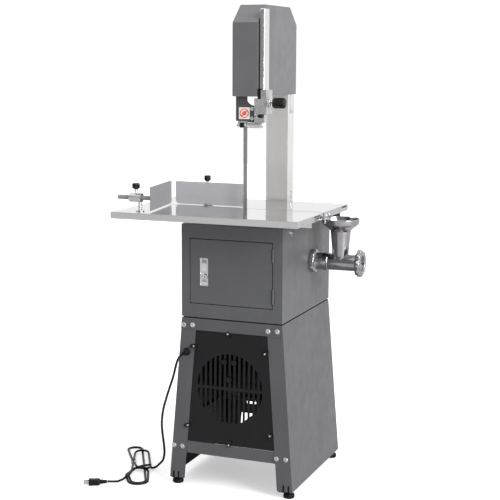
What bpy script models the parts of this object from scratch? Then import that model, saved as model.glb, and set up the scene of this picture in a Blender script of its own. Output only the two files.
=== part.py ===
"""Freestanding butcher's band saw with a meat grinder on its side.

Machine frame: +X right, +Y back, +Z up, with x = 0 on the cabinet's middle plane and z = 0 on the floor.
Everything hangs on the empty "machine", which moves that frame so that the world origin is at the
bottom centre of the box around the machine without its mains cord.
"""
import math

import bmesh
import bpy
from mathutils import Matrix, Vector

# ---- driving dimensions, in metres -------------------------------------------------------------
GAP = 0.0003                    # between pieces that touch
DOOR_PLAY = 0.0024
SHEET = 0.0015                  # stand, door and table sheet
WALL = 0.0020                   # cabinet, housing and column wall

STAND_TOP_Z, LEG_BOTTOM_Z = 0.587, 0.025
REAR_PANEL_LOW = 0.122
SEAM_HEIGHT, SEAM_DEPTH = 0.0035, 0.0080       # groove between the stand and the cabinet
STAND_TOP_HALF_X, STAND_BOTTOM_HALF_X = 0.1800, 0.2235
STAND_TOP_FRONT, STAND_BOTTOM_FRONT = -0.2405, -0.2500
STAND_TOP_REAR, STAND_BOTTOM_REAR = 0.2470, 0.2565
LEG_FLANGE = 0.055
LOW_RAIL_Z = (0.117, 0.159)
TOP_RAIL_Z = (0.547, STAND_TOP_Z)
FOOT_RADIUS, FOOT_INSET_X, FOOT_INSET_Y = 0.019, 0.0200, 0.0240
GRILLE_X, GRILLE_Z, GRILLE_RADIUS, GRILLE_PITCH, GRILLE_SLOT, GRILLE_COUNT = -0.0053, 0.3544, 0.1188, 0.0173, 0.0092, 14

CABINET_HALF_X, CABINET_FRONT, CABINET_REAR = 0.180, -0.2425, 0.249
CABINET_TOP_Z = 0.905
DOOR_X, DOOR_Z, DOOR_DEPTH = (-0.150, 0.146), (0.637, 0.858), 0.012
HINGE_X, HINGE_RADIUS = 0.1475, 0.004
LATCH_X, LATCH_Z = -0.0937, 0.7301

AXIS_Y, LOWER_AXIS_Z, UPPER_AXIS_Z = 0.0505, 0.7595, 1.4755
WHEEL_RADIUS, WHEEL_WIDTH = 0.1460, 0.024
BLADE_X, BLADE_WIDTH, BLADE_THICKNESS = -0.011, 0.016, 0.0007
SHAFT_RADIUS, AXLE_RADIUS = 0.010, 0.008
DRIVEN_RADIUS, MOTOR_PULLEY_RADIUS = 0.055, 0.030
BELT_X, BELT_WIDTH, BELT_HEIGHT = 0.094, 0.009, 0.007
MOTOR_Z, MOTOR_RADIUS = 0.3245, 0.075

TABLE_X, TABLE_TOP_Z, TABLE_LIP = (-0.3845, 0.269), 0.947, 0.022
TABLE_FRONT, TABLE_REAR, SEAM_Y = -0.358, 0.176, (-0.0985, -0.0935)
RAIL_Z = (CABINET_TOP_Z + GAP, 0.9199)
FENCE_X, FENCE_Y, FENCE_Z = (-0.283, -0.018), -0.066, (0.9487, 1.027)
FENCE_KNOB_X, FENCE_KNOB_Y = -0.170, -0.047
ROD_Y, ROD_Z, ROD_RADIUS = -0.305, 0.992, 0.0075
PUSHER_CORNER, PUSHER_LENGTH, PUSHER_TURN = (-0.2555, -0.320), 0.244, math.radians(8.6)
PUSHER_KNOB_X = -0.3155

COLUMN_X, COLUMN_Y, COLUMN_Z = (-0.042, 0.041), (0.184, 0.246), (0.5935, 1.566)
HOUSING_X, HOUSING_Y, HOUSING_Z = (-0.0450, 0.0425), (-0.122, 0.259), (1.324, 1.626)
HOUSING_CHAMFER_Y, HOUSING_CHAMFER_Z = 0.070, 0.060
POST_X, POST_Y, POST_Z = (0.0475, 0.0635), (-0.115, -0.069), (1.2643, 1.610)
CLAMP_X, CLAMP_Y, CLAMP_Z = (0.0428, 0.0735), (-0.121, -0.063), (1.2652, 1.3464)
CLAMP_KNOB_Y, CLAMP_KNOB_Z, CLAMP_KNOB_RADIUS = -0.090, 1.303, 0.018
GUARD_X, GUARD_Y, GUARD_Z = (-0.0400, 0.0275), -0.108, (1.2424, 1.515)
ROLLER_Y, ROLLER_Z, ROLLER_RADIUS = -0.0963, 1.231, 0.0125

BARREL_RADIUS, BARREL_BORE, BARREL_END_X = 0.0285, 0.0225, 0.349
FEED_X, FUNNEL_RADIUS, FUNNEL_Z = 0.2835, 0.0645, (0.868, 0.911)
NUT_X, NUT_RADIUS = (0.3445, 0.3645), 0.0465
CLAMP_SCREW_X, CLAMP_SCREW_Z = 0.232, 0.7615

SWITCH_X, SWITCH_Y, SWITCH_Z = (0.130, 0.2035), (CABINET_REAR + GAP, 0.300), (0.845, 0.930)

CORD_RADIUS = 0.004
GLAND_X, GLAND_Z = -0.1614, 0.4695
CORD_START_Y = -0.2723
CORD_DROP = [                   # from the gland to the bundle, in the machine frame
    (-0.1614, -0.2723, 0.4695), (-0.1616, -0.284, 0.4690), (-0.1626, -0.296, 0.4655), (-0.1648, -0.3055, 0.4575),
    (-0.1680, -0.3105, 0.4450), (-0.1720, -0.3110, 0.4300), (-0.1860, -0.3030, 0.3900), (-0.2080, -0.2900, 0.3400),
    (-0.2330, -0.2740, 0.2800), (-0.2465, -0.2600, 0.2410), (-0.2560, -0.2450, 0.2030), (-0.2640, -0.2220, 0.1590),
    (-0.2710, -0.1970, 0.1120), (-0.2800, -0.1760, 0.0760), (-0.2950, -0.1590, 0.0440), (-0.3170, -0.1500, 0.0210),
    (-0.3420, -0.1500, 0.0090), (-0.3650, -0.1580, 0.0060),
]
BUNDLE_LOBES = [                # (x, y, radius) of the round lobes that the tied bundle's outline wraps
    (-0.513, 0.035, 0.018), (-0.435, -0.008, 0.020), (-0.385, -0.070, 0.022), (-0.348, -0.262, 0.060),
]
BUNDLE_Z = (0.0, 0.026)
CORD_TAIL = [
    (-0.374, -0.270, 0.0045), (-0.382, -0.298, 0.0045), (-0.389, -0.319, 0.0065), (-0.3960, -0.3360, 0.0105),
    (-0.4050, -0.3450, 0.0125), (-0.4138, -0.3494, 0.0125),
]
PLUG_REAR, PLUG_DIRECTION = (-0.4146, -0.3501, 0.0125), (-0.894, -0.447, 0.0)

MACHINE_X = -(TABLE_X[0] + NUT_X[1]) / 2
MACHINE_Y = -(TABLE_FRONT + SWITCH_Y[1]) / 2

# ---- materials: name -> (colour, metallic, roughness) --------------------------------------------
FINISHES = {
    "grey_paint": ((0.125, 0.128, 0.135), 0.0, 0.45),
    "light_grey_paint": ((0.20, 0.205, 0.215), 0.0, 0.42),
    "black_paint": ((0.022, 0.020, 0.024), 0.0, 0.55),
    "brushed_stainless": ((0.60, 0.59, 0.575), 1.0, 0.32),
    "polished_stainless": ((0.80, 0.80, 0.81), 1.0, 0.12),
    "aluminium_casting": ((0.62, 0.62, 0.63), 1.0, 0.38),
    "zinc_steel": ((0.55, 0.55, 0.54), 1.0, 0.40),
    "blade_steel": ((0.42, 0.42, 0.43), 1.0, 0.35),
    "black_plastic": ((0.012, 0.012, 0.013), 0.0, 0.40),
    "black_rubber": ((0.015, 0.015, 0.016), 0.0, 0.75),
    "motor_enamel": ((0.03, 0.03, 0.034), 0.0, 0.50),
}
AXIS_TURN = {                   # turns a shape made along +Z to lie along the named direction
    "X": Matrix.Rotation(math.radians(90), 4, "Y"),
    "-X": Matrix.Rotation(math.radians(-90), 4, "Y"),
    "-Y": Matrix.Rotation(math.radians(90), 4, "X"),
    "Z": Matrix.Identity(4),
}


# ---- modelling helpers ---------------------------------------------------------------------------
def clear_scene():
    for item in list(bpy.data.objects):
        bpy.data.objects.remove(item, do_unlink=True)


def make_materials():
    made = {}
    for name, (colour, metallic, roughness) in FINISHES.items():
        material = bpy.data.materials.new(name)
        material.use_nodes = True
        shader = material.node_tree.nodes["Principled BSDF"]
        shader.inputs["Base Color"].default_value = (*colour, 1.0)
        shader.inputs["Metallic"].default_value = metallic
        shader.inputs["Roughness"].default_value = roughness
        made[name] = material
    return made


def new_object(name, bm):
    """Turn a bmesh into an object, with its faces pointing out."""
    bmesh.ops.remove_doubles(bm, verts=bm.verts, dist=1e-6)
    bmesh.ops.recalc_face_normals(bm, faces=bm.faces)
    mesh = bpy.data.meshes.new(name)
    bm.to_mesh(mesh)
    bm.free()
    made = bpy.data.objects.new(name, mesh)
    bpy.context.scene.collection.objects.link(made)
    return made


def finish(piece, material, smooth=False):
    piece.data.materials.clear()
    piece.data.materials.append(MATERIALS[material])
    if smooth:
        piece.data.shade_smooth()
        piece.data.set_sharp_from_angle(angle=math.radians(35))
    return piece


def box(name, x, y, z):
    bm = bmesh.new()
    bmesh.ops.create_cube(bm, size=1.0)
    for vert in bm.verts:
        vert.co = Vector((
            x[0] if vert.co.x < 0 else x[1],
            y[0] if vert.co.y < 0 else y[1],
            z[0] if vert.co.z < 0 else z[1],
        ))
    return new_object(name, bm)


def loft(name, loops):
    """A closed solid through loops that have the same number of points, capped at both ends."""
    bm = bmesh.new()
    rings = [[bm.verts.new(point) for point in loop] for loop in loops]
    for low, high in zip(rings, rings[1:]):
        for index in range(len(low)):
            after = (index + 1) % len(low)
            bm.faces.new((low[index], low[after], high[after], high[index]))
    bm.faces.new(rings[0])
    bm.faces.new(rings[-1])
    return new_object(name, bm)


def plate(name, outline, normal, low, high):
    """Extrude an outline along X, Y or Z. The outline gives the other two coordinates in XYZ order."""
    def point(pair, level):
        first, second = pair
        return {"X": (level, first, second), "Y": (first, level, second), "Z": (first, second, level)}[normal]
    return loft(name, [[point(pair, low) for pair in outline], [point(pair, high) for pair in outline]])


def turned(name, profile, centre, axis="X", sides=32):
    """Spin a profile of (distance along the axis, radius) round the axis through centre.

    A profile that starts and ends with radius 0 gives a solid, any other one gives a ring.
    """
    bm = bmesh.new()
    rings = []
    for along, radius in profile:
        if radius == 0:
            continue
        ring = []
        for index in range(sides):
            angle = 2 * math.pi * (index + 0.5) / sides
            ring.append(bm.verts.new((radius * math.cos(angle), radius * math.sin(angle), along)))
        rings.append(ring)
    pairs = list(zip(rings, rings[1:]))
    if profile[0][1] == 0:
        bm.faces.new(rings[0])
        bm.faces.new(rings[-1])
    else:
        pairs.append((rings[-1], rings[0]))
    for one, two in pairs:
        for index in range(sides):
            after = (index + 1) % sides
            bm.faces.new((one[index], one[after], two[after], two[index]))
    bm.transform(Matrix.Translation(centre) @ AXIS_TURN[axis])
    return new_object(name, bm)


def rod(name, centre, axis, low, high, radius, sides=24):
    return turned(name, [(low, 0), (low, radius), (high, radius), (high, 0)], centre, axis, sides)


def combine(target, tools, operation):
    """Apply exact Booleans to target and remove the tools."""
    for tool in tools:
        modifier = target.modifiers.new(operation, "BOOLEAN")
        modifier.operation = operation
        modifier.solver = "EXACT"
        modifier.object = tool
    bpy.context.view_layer.update()
    depsgraph = bpy.context.evaluated_depsgraph_get()
    mesh = bpy.data.meshes.new_from_object(target.evaluated_get(depsgraph))
    target.modifiers.clear()
    target.data = mesh
    for tool in tools:
        bpy.data.objects.remove(tool, do_unlink=True)
    return target


def cut(target, *tools):
    return combine(target, tools, "DIFFERENCE")


def join(target, *tools):
    return combine(target, tools, "UNION")


def set_origin(piece, point):
    """Move an object's origin to a point of the machine frame, and leave its shape where it is."""
    piece.data.transform(Matrix.Translation(-Vector(point)))
    piece.location = Vector(point)
    return piece


def ramp(z, bottom, top):
    """A stand dimension at height z, between its values at the legs' ends and at the stand's top."""
    share = (z - LEG_BOTTOM_Z) / (STAND_TOP_Z - LEG_BOTTOM_Z)
    return bottom + (top - bottom) * share


def half_width(z):
    return ramp(z, STAND_BOTTOM_HALF_X, STAND_TOP_HALF_X)


def front(z):
    return ramp(z, STAND_BOTTOM_FRONT, STAND_TOP_FRONT)


def rear(z):
    return ramp(z, STAND_BOTTOM_REAR, STAND_TOP_REAR)


def arc(centre, radius, start, stop, steps):
    """Points on an arc, with angles in degrees."""
    points = []
    for index in range(steps + 1):
        angle = math.radians(start + (stop - start) * index / steps)
        points.append((centre[0] + radius * math.cos(angle), centre[1] + radius * math.sin(angle)))
    return points


def belt_outline(upper, lower, steps=20):
    """Outline round two circles (y, z, radius), the first straight above the second."""
    lean = math.degrees(math.asin((upper[2] - lower[2]) / (upper[1] - lower[1])))
    top = arc(upper[:2], upper[2], -lean, 180 + lean, steps)
    bottom = arc(lower[:2], lower[2], 180 + lean, 360 - lean, steps)
    return top + bottom


def hull(points):
    """Convex hull of points in the plane."""
    ordered = sorted(set(points))

    def half(sequence):
        kept = []
        for point in sequence:
            while len(kept) > 1:
                (ax, ay), (bx, by) = kept[-2:]
                if (bx - ax) * (point[1] - ay) - (by - ay) * (point[0] - ax) > 0:
                    break
                kept.pop()
            kept.append(point)
        return kept[:-1]
    return half(ordered) + half(ordered[::-1])


# ---- stand -----------------------------------------------------------------------------------------
def side_section(z, side):
    """C-shaped section of a stand side panel at height z: the side, and a leg flange at each end."""
    outer = half_width(z)
    inner = outer - SHEET
    tip = outer - LEG_FLANGE
    front_y, rear_y = front(z), rear(z)
    corners = [
        (outer, front_y), (outer, rear_y), (tip, rear_y), (tip, rear_y - SHEET), (inner, rear_y - SHEET),
        (inner, front_y + SHEET), (tip, front_y + SHEET), (tip, front_y),
    ]
    return [(side * x, y, z) for x, y in corners]


def leg_slots(side):
    """Two short slots at the bottom of a front leg flange."""
    cutters = []
    for inset in (0.014, 0.032):
        x = side * (half_width(LEG_BOTTOM_Z) - inset)
        span = (STAND_BOTTOM_FRONT - 0.01, STAND_BOTTOM_FRONT + 0.01)
        cutters.append(box("slot", (x - 0.0032, x + 0.0032), span, (LEG_BOTTOM_Z - 0.01, LEG_BOTTOM_Z + 0.022)))
    return cutters


def make_stand_sides():
    for name, side in (("stand_left_side", -1), ("stand_right_side", 1)):
        panel = loft(name, [side_section(LEG_BOTTOM_Z, side), side_section(STAND_TOP_Z - GAP, side)])
        cut(panel, *leg_slots(side))
        finish(panel, "grey_paint")


def cross_sheet(name, z, depth, inset, surface, thickness=SHEET):
    """A sheet across the stand, parallel to its sloping front or rear surface."""
    loops = []
    for level in z:
        reach = half_width(level) - inset
        near = surface(level) + depth
        loops.append([(-reach, near, level), (reach, near, level), (reach, near + thickness, level),
                      (-reach, near + thickness, level)])
    return loft(name, loops)


def grille_cutters(depth):
    """Vertical slots that fill a circle, in an upper and a lower row."""
    cutters = []
    for step in range(GRILLE_COUNT):
        x = (step - (GRILLE_COUNT - 1) / 2) * GRILLE_PITCH
        edges = (x - GRILLE_SLOT / 2, x + GRILLE_SLOT / 2)
        reach = [math.sqrt(GRILLE_RADIUS ** 2 - edge ** 2) for edge in edges]
        left, right = (GRILLE_X + edge for edge in edges)
        bar = 0.0045
        for sign in (-1, 1):
            outline = [(left, GRILLE_Z + sign * bar), (right, GRILLE_Z + sign * bar),
                       (right, GRILLE_Z + sign * reach[1]), (left, GRILLE_Z + sign * reach[0])]
            cutters.append(plate("slot", outline, "Y", *depth))
    return cutters


def make_stand_sheets():
    rail = cross_sheet("stand_front_top_rail", (TOP_RAIL_Z[0], TOP_RAIL_Z[1] - GAP), -SHEET - GAP, 0, front)
    finish(rail, "grey_paint")
    rail = cross_sheet("stand_front_bottom_rail", LOW_RAIL_Z, SHEET + GAP, 0.004, front)
    finish(rail, "grey_paint")
    vent = cross_sheet("stand_vent_panel", (LOW_RAIL_Z[1] + 0.0006, 0.575), SHEET + GAP, LEG_FLANGE - 0.012, front)
    depth = (STAND_BOTTOM_FRONT - 0.005, STAND_TOP_FRONT + 0.010)
    finish(cut(vent, *grille_cutters(depth)), "black_paint")
    back = cross_sheet("stand_rear_panel", (REAR_PANEL_LOW, STAND_TOP_Z - GAP), GAP, 0.001, rear)
    slot = box("slot", (-0.140, 0.140), (STAND_TOP_REAR - 0.01, STAND_BOTTOM_REAR + 0.01), (0.160, 0.172))
    finish(cut(back, slot), "grey_paint")


def make_feet():
    x = STAND_BOTTOM_HALF_X - FOOT_INSET_X
    places = {
        "foot_front_left": (-x, STAND_BOTTOM_FRONT + FOOT_INSET_Y),
        "foot_front_right": (x, STAND_BOTTOM_FRONT + FOOT_INSET_Y),
        "foot_rear_left": (-x, STAND_BOTTOM_REAR - FOOT_INSET_Y),
        "foot_rear_right": (x, STAND_BOTTOM_REAR - FOOT_INSET_Y),
    }
    profile = [(0, 0), (0, FOOT_RADIUS - 0.002), (0.003, FOOT_RADIUS), (0.014, FOOT_RADIUS - 0.001),
               (0.017, 0.011), (0.030, 0.011), (0.030, 0.016), (0.033, 0.016), (0.033, 0.006), (0.060, 0.006),
               (0.060, 0)]
    for name, (foot_x, foot_y) in places.items():
        foot = turned(name, profile, (foot_x, foot_y, 0), "Z", 16)
        finish(foot, "black_rubber", smooth=True)


# ---- cabinet ---------------------------------------------------------------------------------------
def hinge_spans():
    return {"upper": (0.7931, 0.8390), "lower": (0.6543, 0.7040)}


def make_cabinet():
    low = STAND_TOP_Z + GAP + SEAM_HEIGHT
    shell = box("cabinet_shell", (-CABINET_HALF_X, CABINET_HALF_X), (CABINET_FRONT, CABINET_REAR), (low, CABINET_TOP_Z))
    plinth = box("plinth", (-CABINET_HALF_X + SEAM_DEPTH, CABINET_HALF_X - SEAM_DEPTH),
                 (CABINET_FRONT + SEAM_DEPTH, CABINET_REAR - SEAM_DEPTH), (STAND_TOP_Z + GAP, low + WALL / 2))
    join(shell, plinth)
    inside = CABINET_HALF_X - WALL
    cutters = [
        box("c", (-inside, inside), (CABINET_FRONT + WALL, CABINET_REAR - WALL), (low + WALL, CABINET_TOP_Z - WALL)),
        box("c", DOOR_X, (CABINET_FRONT - 0.01, CABINET_FRONT + 0.01), DOOR_Z),
        box("c", (-0.150, 0.150), (-0.200, 0.178), (low - 0.02, low + 0.01)),
        box("c", (-0.050, 0.030), (-0.130, 0.170), (CABINET_TOP_Z - 0.01, CABINET_TOP_Z + 0.01)),
        box("c", (COLUMN_X[0] - GAP, COLUMN_X[1] + GAP), (COLUMN_Y[0] - GAP, COLUMN_Y[1] + GAP),
            (CABINET_TOP_Z - 0.01, CABINET_TOP_Z + 0.01)),
        rod("c", (0, AXIS_Y, LOWER_AXIS_Z), "X", CABINET_HALF_X - 0.01, CABINET_HALF_X + 0.01, 0.0255, 32),
    ]
    for span in hinge_spans().values():
        cutters.append(box("c", (DOOR_X[1] - 0.001, HINGE_X + 0.0055), (CABINET_FRONT - 0.01, CABINET_FRONT + 0.01),
                           (span[0] - 0.0005, span[1] + 0.0005)))
    finish(cut(shell, *cutters), "grey_paint")


def make_door():
    play = DOOR_PLAY
    x = (DOOR_X[0] + play, DOOR_X[1] - play)
    z = (DOOR_Z[0] + play, DOOR_Z[1] - play)
    door = box("cabinet_door", x, (CABINET_FRONT, CABINET_FRONT + DOOR_DEPTH), z)
    cutters = [
        box("c", (x[0] + SHEET, x[1] - SHEET), (CABINET_FRONT + SHEET, CABINET_FRONT + 0.02),
            (z[0] + SHEET, z[1] - SHEET)),
        rod("c", (LATCH_X, 0, LATCH_Z), "-Y", -CABINET_FRONT - 0.01, -CABINET_FRONT + 0.01, 0.0064),
    ]
    for span in hinge_spans().values():
        cutters.append(box("c", (HINGE_X - 0.0055, HINGE_X + 0.01), (CABINET_FRONT - 0.01, CABINET_FRONT + 0.0055),
                           (span[0] - 0.0005, span[1] + 0.0005)))
    finish(cut(door, *cutters), "grey_paint")
    set_origin(door, (HINGE_X, CABINET_FRONT, (z[0] + z[1]) / 2))


def make_door_latch():
    depth = -CABINET_FRONT
    latch = turned("door_latch", [
        (depth - 0.0165, 0), (depth - 0.0165, 0.006), (depth + 0.0023, 0.006), (depth + 0.0023, 0.009),
        (depth + 0.0060, 0.008), (depth + 0.0060, 0),
    ], (LATCH_X, 0, LATCH_Z), "-Y", 24)
    cam = box("cam", (LATCH_X - 0.006, LATCH_X + 0.006), (CABINET_FRONT + 0.0140, CABINET_FRONT + 0.0160),
              (LATCH_Z - 0.066, LATCH_Z + 0.002))
    finish(join(latch, cam), "polished_stainless")
    set_origin(latch, (LATCH_X, CABINET_FRONT, LATCH_Z))


def make_door_hinges():
    for name, span in hinge_spans().items():
        hinge = rod(f"door_hinge_{name}", (HINGE_X, CABINET_FRONT, 0), "Z", span[0], span[1], HINGE_RADIUS, 16)
        leaf = box("leaf", (HINGE_X, HINGE_X + 0.024), (CABINET_FRONT + WALL + GAP, CABINET_FRONT + WALL + 0.0018), span)
        finish(join(hinge, leaf), "grey_paint")


# ---- drive -----------------------------------------------------------------------------------------
def wheel(name, axis_z, bore):
    half = WHEEL_WIDTH / 2
    rim, hub, web = WHEEL_RADIUS - 0.010, 0.022, 0.003
    profile = [
        (-half, WHEEL_RADIUS), (half, WHEEL_RADIUS), (half, rim), (web, rim - 0.003), (web, hub + 0.003),
        (half + 0.003, hub), (half + 0.003, bore), (-half - 0.003, bore), (-half - 0.003, hub),
        (-web, hub + 0.003), (-web, rim - 0.003), (-half, rim),
    ]
    made = turned(name, profile, (BLADE_X, AXIS_Y, axis_z), "X", 40)
    finish(made, "aluminium_casting", smooth=True)
    set_origin(made, (BLADE_X, AXIS_Y, axis_z))


def pulley(name, radius, centre_z, bore):
    """A pulley whose belt sits between two flanges; bore 0 gives a pulley with its own stub shaft."""
    side = BELT_WIDTH / 2 + 0.0005
    edge = side + 0.0045
    flange = radius + BELT_HEIGHT + 0.001
    if bore:
        profile = [(-edge, flange), (-side, flange), (-side, radius), (side, radius), (side, flange),
                   (edge, flange), (edge, 0.018), (edge + 0.010, 0.018), (edge + 0.010, bore), (-edge, bore)]
    else:
        profile = [(-edge - 0.008, 0), (-edge - 0.008, 0.0075), (-edge, 0.0075), (-edge, flange), (-side, flange),
                   (-side, radius), (side, radius), (side, flange), (edge, flange), (edge, 0)]
    made = turned(name, profile, (BELT_X, AXIS_Y, centre_z), "X", 32)
    finish(made, "aluminium_casting", smooth=True)
    set_origin(made, (BELT_X, AXIS_Y, centre_z))


def loop_band(name, x, upper, lower, inner_extra, thickness, steps):
    """A belt or blade: the ring between two offset outlines round two circles (z, radius)."""
    def outline(extra):
        return belt_outline((AXIS_Y, upper[0], upper[1] + extra), (AXIS_Y, lower[0], lower[1] + extra), steps)
    inner, outer = outline(inner_extra), outline(inner_extra + thickness)
    bm = bmesh.new()
    loops = []
    for level, outline_points in ((x[0], inner), (x[1], inner), (x[1], outer), (x[0], outer)):
        loops.append([bm.verts.new((level, y, z)) for y, z in outline_points])
    for one, two in zip(loops, loops[1:] + loops[:1]):
        for index in range(len(one)):
            after = (index + 1) % len(one)
            bm.faces.new((one[index], one[after], two[after], two[index]))
    return new_object(name, bm)


def make_shaft():
    profile = [(-0.053, 0), (-0.053, 0.015), (-0.045, 0.015), (-0.045, SHAFT_RADIUS), (0.1985, SHAFT_RADIUS),
               (0.1985, 0)]
    shaft = turned("drive_shaft", profile, (0, AXIS_Y, LOWER_AXIS_Z), "X", 24)
    finish(shaft, "zinc_steel", smooth=True)
    set_origin(shaft, (0, AXIS_Y, LOWER_AXIS_Z))


def make_bearing_plate():
    z = (STAND_TOP_Z + SEAM_HEIGHT + 2 * GAP + WALL, CABINET_TOP_Z - WALL - GAP)
    support = box("shaft_bearing_plate", (0.030, 0.036), (-0.150, 0.176), z)
    foot = box("foot", (0.036, 0.080), (-0.225, 0.176), (z[0], z[0] + 0.004))
    heel = box("heel", (0.044, 0.080), (0.170, 0.235), (z[0], z[0] + 0.004))
    wing = box("wing", (0.030, 0.036), (-0.225, -0.148), (z[0], z[0] + 0.100))
    boss = rod("boss", (0, AXIS_Y, LOWER_AXIS_Z), "X", 0.033, 0.062, 0.028, 32)
    join(support, foot, heel, wing, boss)
    cut(support, rod("bore", (0, AXIS_Y, LOWER_AXIS_Z), "X", 0.0, 0.1, SHAFT_RADIUS + 0.0004, 24))
    finish(support, "zinc_steel")


def make_motor():
    profile = [(-0.130, 0), (-0.130, 0.060), (-0.118, MOTOR_RADIUS - 0.004), (-0.075, MOTOR_RADIUS - 0.004),
               (-0.075, MOTOR_RADIUS), (0.050, MOTOR_RADIUS), (0.050, MOTOR_RADIUS - 0.006),
               (0.068, 0.055), (0.068, 0.022), (0.0755, 0.022), (0.0755, 0)]
    motor = turned("motor", profile, (0, AXIS_Y, MOTOR_Z), "X", 32)
    feet = box("feet", (0.002, 0.060), (AXIS_Y - 0.065, AXIS_Y + 0.065), (0.2086, 0.262))
    terminals = box("terminals", (-0.045, 0.020), (AXIS_Y - 0.035, AXIS_Y + 0.035), (MOTOR_Z + 0.060, MOTOR_Z + 0.098))
    finish(join(motor, feet, terminals), "motor_enamel")


def make_motor_base():
    top = 0.2083
    reach = half_width(top) - SHEET - GAP - 0.0003
    base = box("motor_base", (-reach, reach), (-0.150, 0.220), (top - 0.003, top))
    flanges = []
    for y in ((-0.150, -0.147), (0.217, 0.220)):
        flanges.append(box("flange", (-reach, reach), y, (top - 0.028, top - 0.001)))
    join(base, *flanges)
    finish(cut(base, box("window", (-reach + 0.012, -0.004), (-0.135, 0.205), (top - 0.01, top + 0.01))), "motor_enamel")


def make_drive():
    wheel("lower_wheel", LOWER_AXIS_Z, SHAFT_RADIUS + GAP)
    wheel("upper_wheel", UPPER_AXIS_Z, AXLE_RADIUS + GAP)
    pulley("driven_pulley", DRIVEN_RADIUS, LOWER_AXIS_Z, SHAFT_RADIUS + GAP)
    pulley("motor_pulley", MOTOR_PULLEY_RADIUS, MOTOR_Z, 0)
    belt_x = (BELT_X - BELT_WIDTH / 2, BELT_X + BELT_WIDTH / 2)
    belt = loop_band("drive_belt", belt_x, (LOWER_AXIS_Z, DRIVEN_RADIUS), (MOTOR_Z, MOTOR_PULLEY_RADIUS),
                     GAP, BELT_HEIGHT, 24)
    finish(belt, "black_rubber")
    blade_x = (BLADE_X - BLADE_WIDTH / 2, BLADE_X + BLADE_WIDTH / 2)
    blade = loop_band("saw_blade", blade_x, (UPPER_AXIS_Z, WHEEL_RADIUS), (LOWER_AXIS_Z, WHEEL_RADIUS),
                      GAP, BLADE_THICKNESS, 40)
    finish(blade, "blade_steel")
    make_shaft()
    make_bearing_plate()
    make_motor()
    make_motor_base()


# ---- head --------------------------------------------------------------------------------------------
def housing_outline(shrink=0.0):
    y0, y1 = HOUSING_Y[0] + shrink, HOUSING_Y[1] - shrink
    z0, z1 = HOUSING_Z[0] + shrink, HOUSING_Z[1] - shrink
    return [(y0, z0), (y1, z0), (y1, z1 - HOUSING_CHAMFER_Z), (y1 - HOUSING_CHAMFER_Y, z1),
            (y0 + HOUSING_CHAMFER_Y, z1), (y0, z1 - HOUSING_CHAMFER_Z)]


def make_housing():
    shell = plate("housing_shell", housing_outline(), "X", *HOUSING_X)
    inside_x = HOUSING_X[1] - WALL
    below = (HOUSING_Z[0] - 0.01, HOUSING_Z[0] + 0.01)
    cut(
        shell,
        plate("c", housing_outline(WALL), "X", HOUSING_X[0] - 0.01, inside_x),
        box("c", (HOUSING_X[0] - 0.01, 0.0300), (-0.1195, -0.060), below),
        box("c", (COLUMN_X[0] - GAP, COLUMN_X[1] - 0.0008), (COLUMN_Y[0] - GAP, COLUMN_Y[1] + GAP), below),
    )
    ribs = []
    for side in (-1, 1):
        edges = sorted((AXIS_Y + side * 0.0225, AXIS_Y + side * 0.0285))
        ribs.append(box("rib", (0.012, inside_x + 0.001), edges, (1.400, 1.560)))
    ribs.append(box("lug", (0.008, inside_x + 0.001), (AXIS_Y - 0.0285, AXIS_Y + 0.0285), (1.555, 1.562)))
    join(shell, *ribs)
    cut(shell, rod("bore", (0.024, AXIS_Y, 0), "Z", 1.54, 1.57, 0.0055))
    finish(shell, "light_grey_paint")

    cover = plate("housing_cover", housing_outline(), "X", HOUSING_X[0] - 0.0025, HOUSING_X[0] - GAP)
    finish(cover, "light_grey_paint")
    set_origin(cover, (HOUSING_X[0] - 0.0025, HOUSING_Y[1], (HOUSING_Z[0] + HOUSING_Z[1]) / 2))


def make_column():
    inside_x = HOUSING_X[1] - WALL - GAP
    column = box("column", (COLUMN_X[0], COLUMN_X[1] - 0.0011), COLUMN_Y, COLUMN_Z)
    cut(
        column,
        box("c", (COLUMN_X[0] + WALL, inside_x - WALL - 0.0006), (COLUMN_Y[0] + WALL, COLUMN_Y[1] - WALL),
            (COLUMN_Z[0] - 0.01, COLUMN_Z[1] + 0.01)),
        box("c", (-0.050, 0.050), (COLUMN_Y[0] - 0.01, COLUMN_Y[0] + 0.028), (COLUMN_Z[0] - 0.01, 0.835)),
        box("c", (-0.050, 0.050), (COLUMN_Y[0] - 0.01, COLUMN_Y[0] + 0.028), (1.380, COLUMN_Z[1] + 0.01)),
    )
    finish(column, "brushed_stainless")


def make_upper_axle():
    block = box("upper_axle_slide", (0.008, 0.0400), (AXIS_Y - 0.0220, AXIS_Y + 0.0220),
                (UPPER_AXIS_Z - 0.028, UPPER_AXIS_Z + 0.028))
    axle = rod("axle", (0, AXIS_Y, UPPER_AXIS_Z), "X", -0.030, 0.020, AXLE_RADIUS, 24)
    finish(join(block, axle), "zinc_steel")
    set_origin(block, (0.024, AXIS_Y, UPPER_AXIS_Z))
    screw = turned("tension_screw", [
        (1.5040, 0), (1.5040, 0.005), (1.578, 0.005), (1.578, 0.0125), (1.592, 0.0125), (1.594, 0.011), (1.594, 0),
    ], (0.024, AXIS_Y, 0), "Z", 24)
    finish(screw, "zinc_steel", smooth=True)
    set_origin(screw, (0.024, AXIS_Y, 1.55))


# ---- upper blade guide ---------------------------------------------------------------------------------
def make_guide_post():
    post = box("guide_post", POST_X, POST_Y, POST_Z)
    bevel = post.modifiers.new("edges", "BEVEL")
    bevel.width = 0.0015
    bevel.segments = 1
    finish(post, "polished_stainless")
    set_origin(post, ((POST_X[0] + POST_X[1]) / 2, (POST_Y[0] + POST_Y[1]) / 2, POST_Z[0]))


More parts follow.
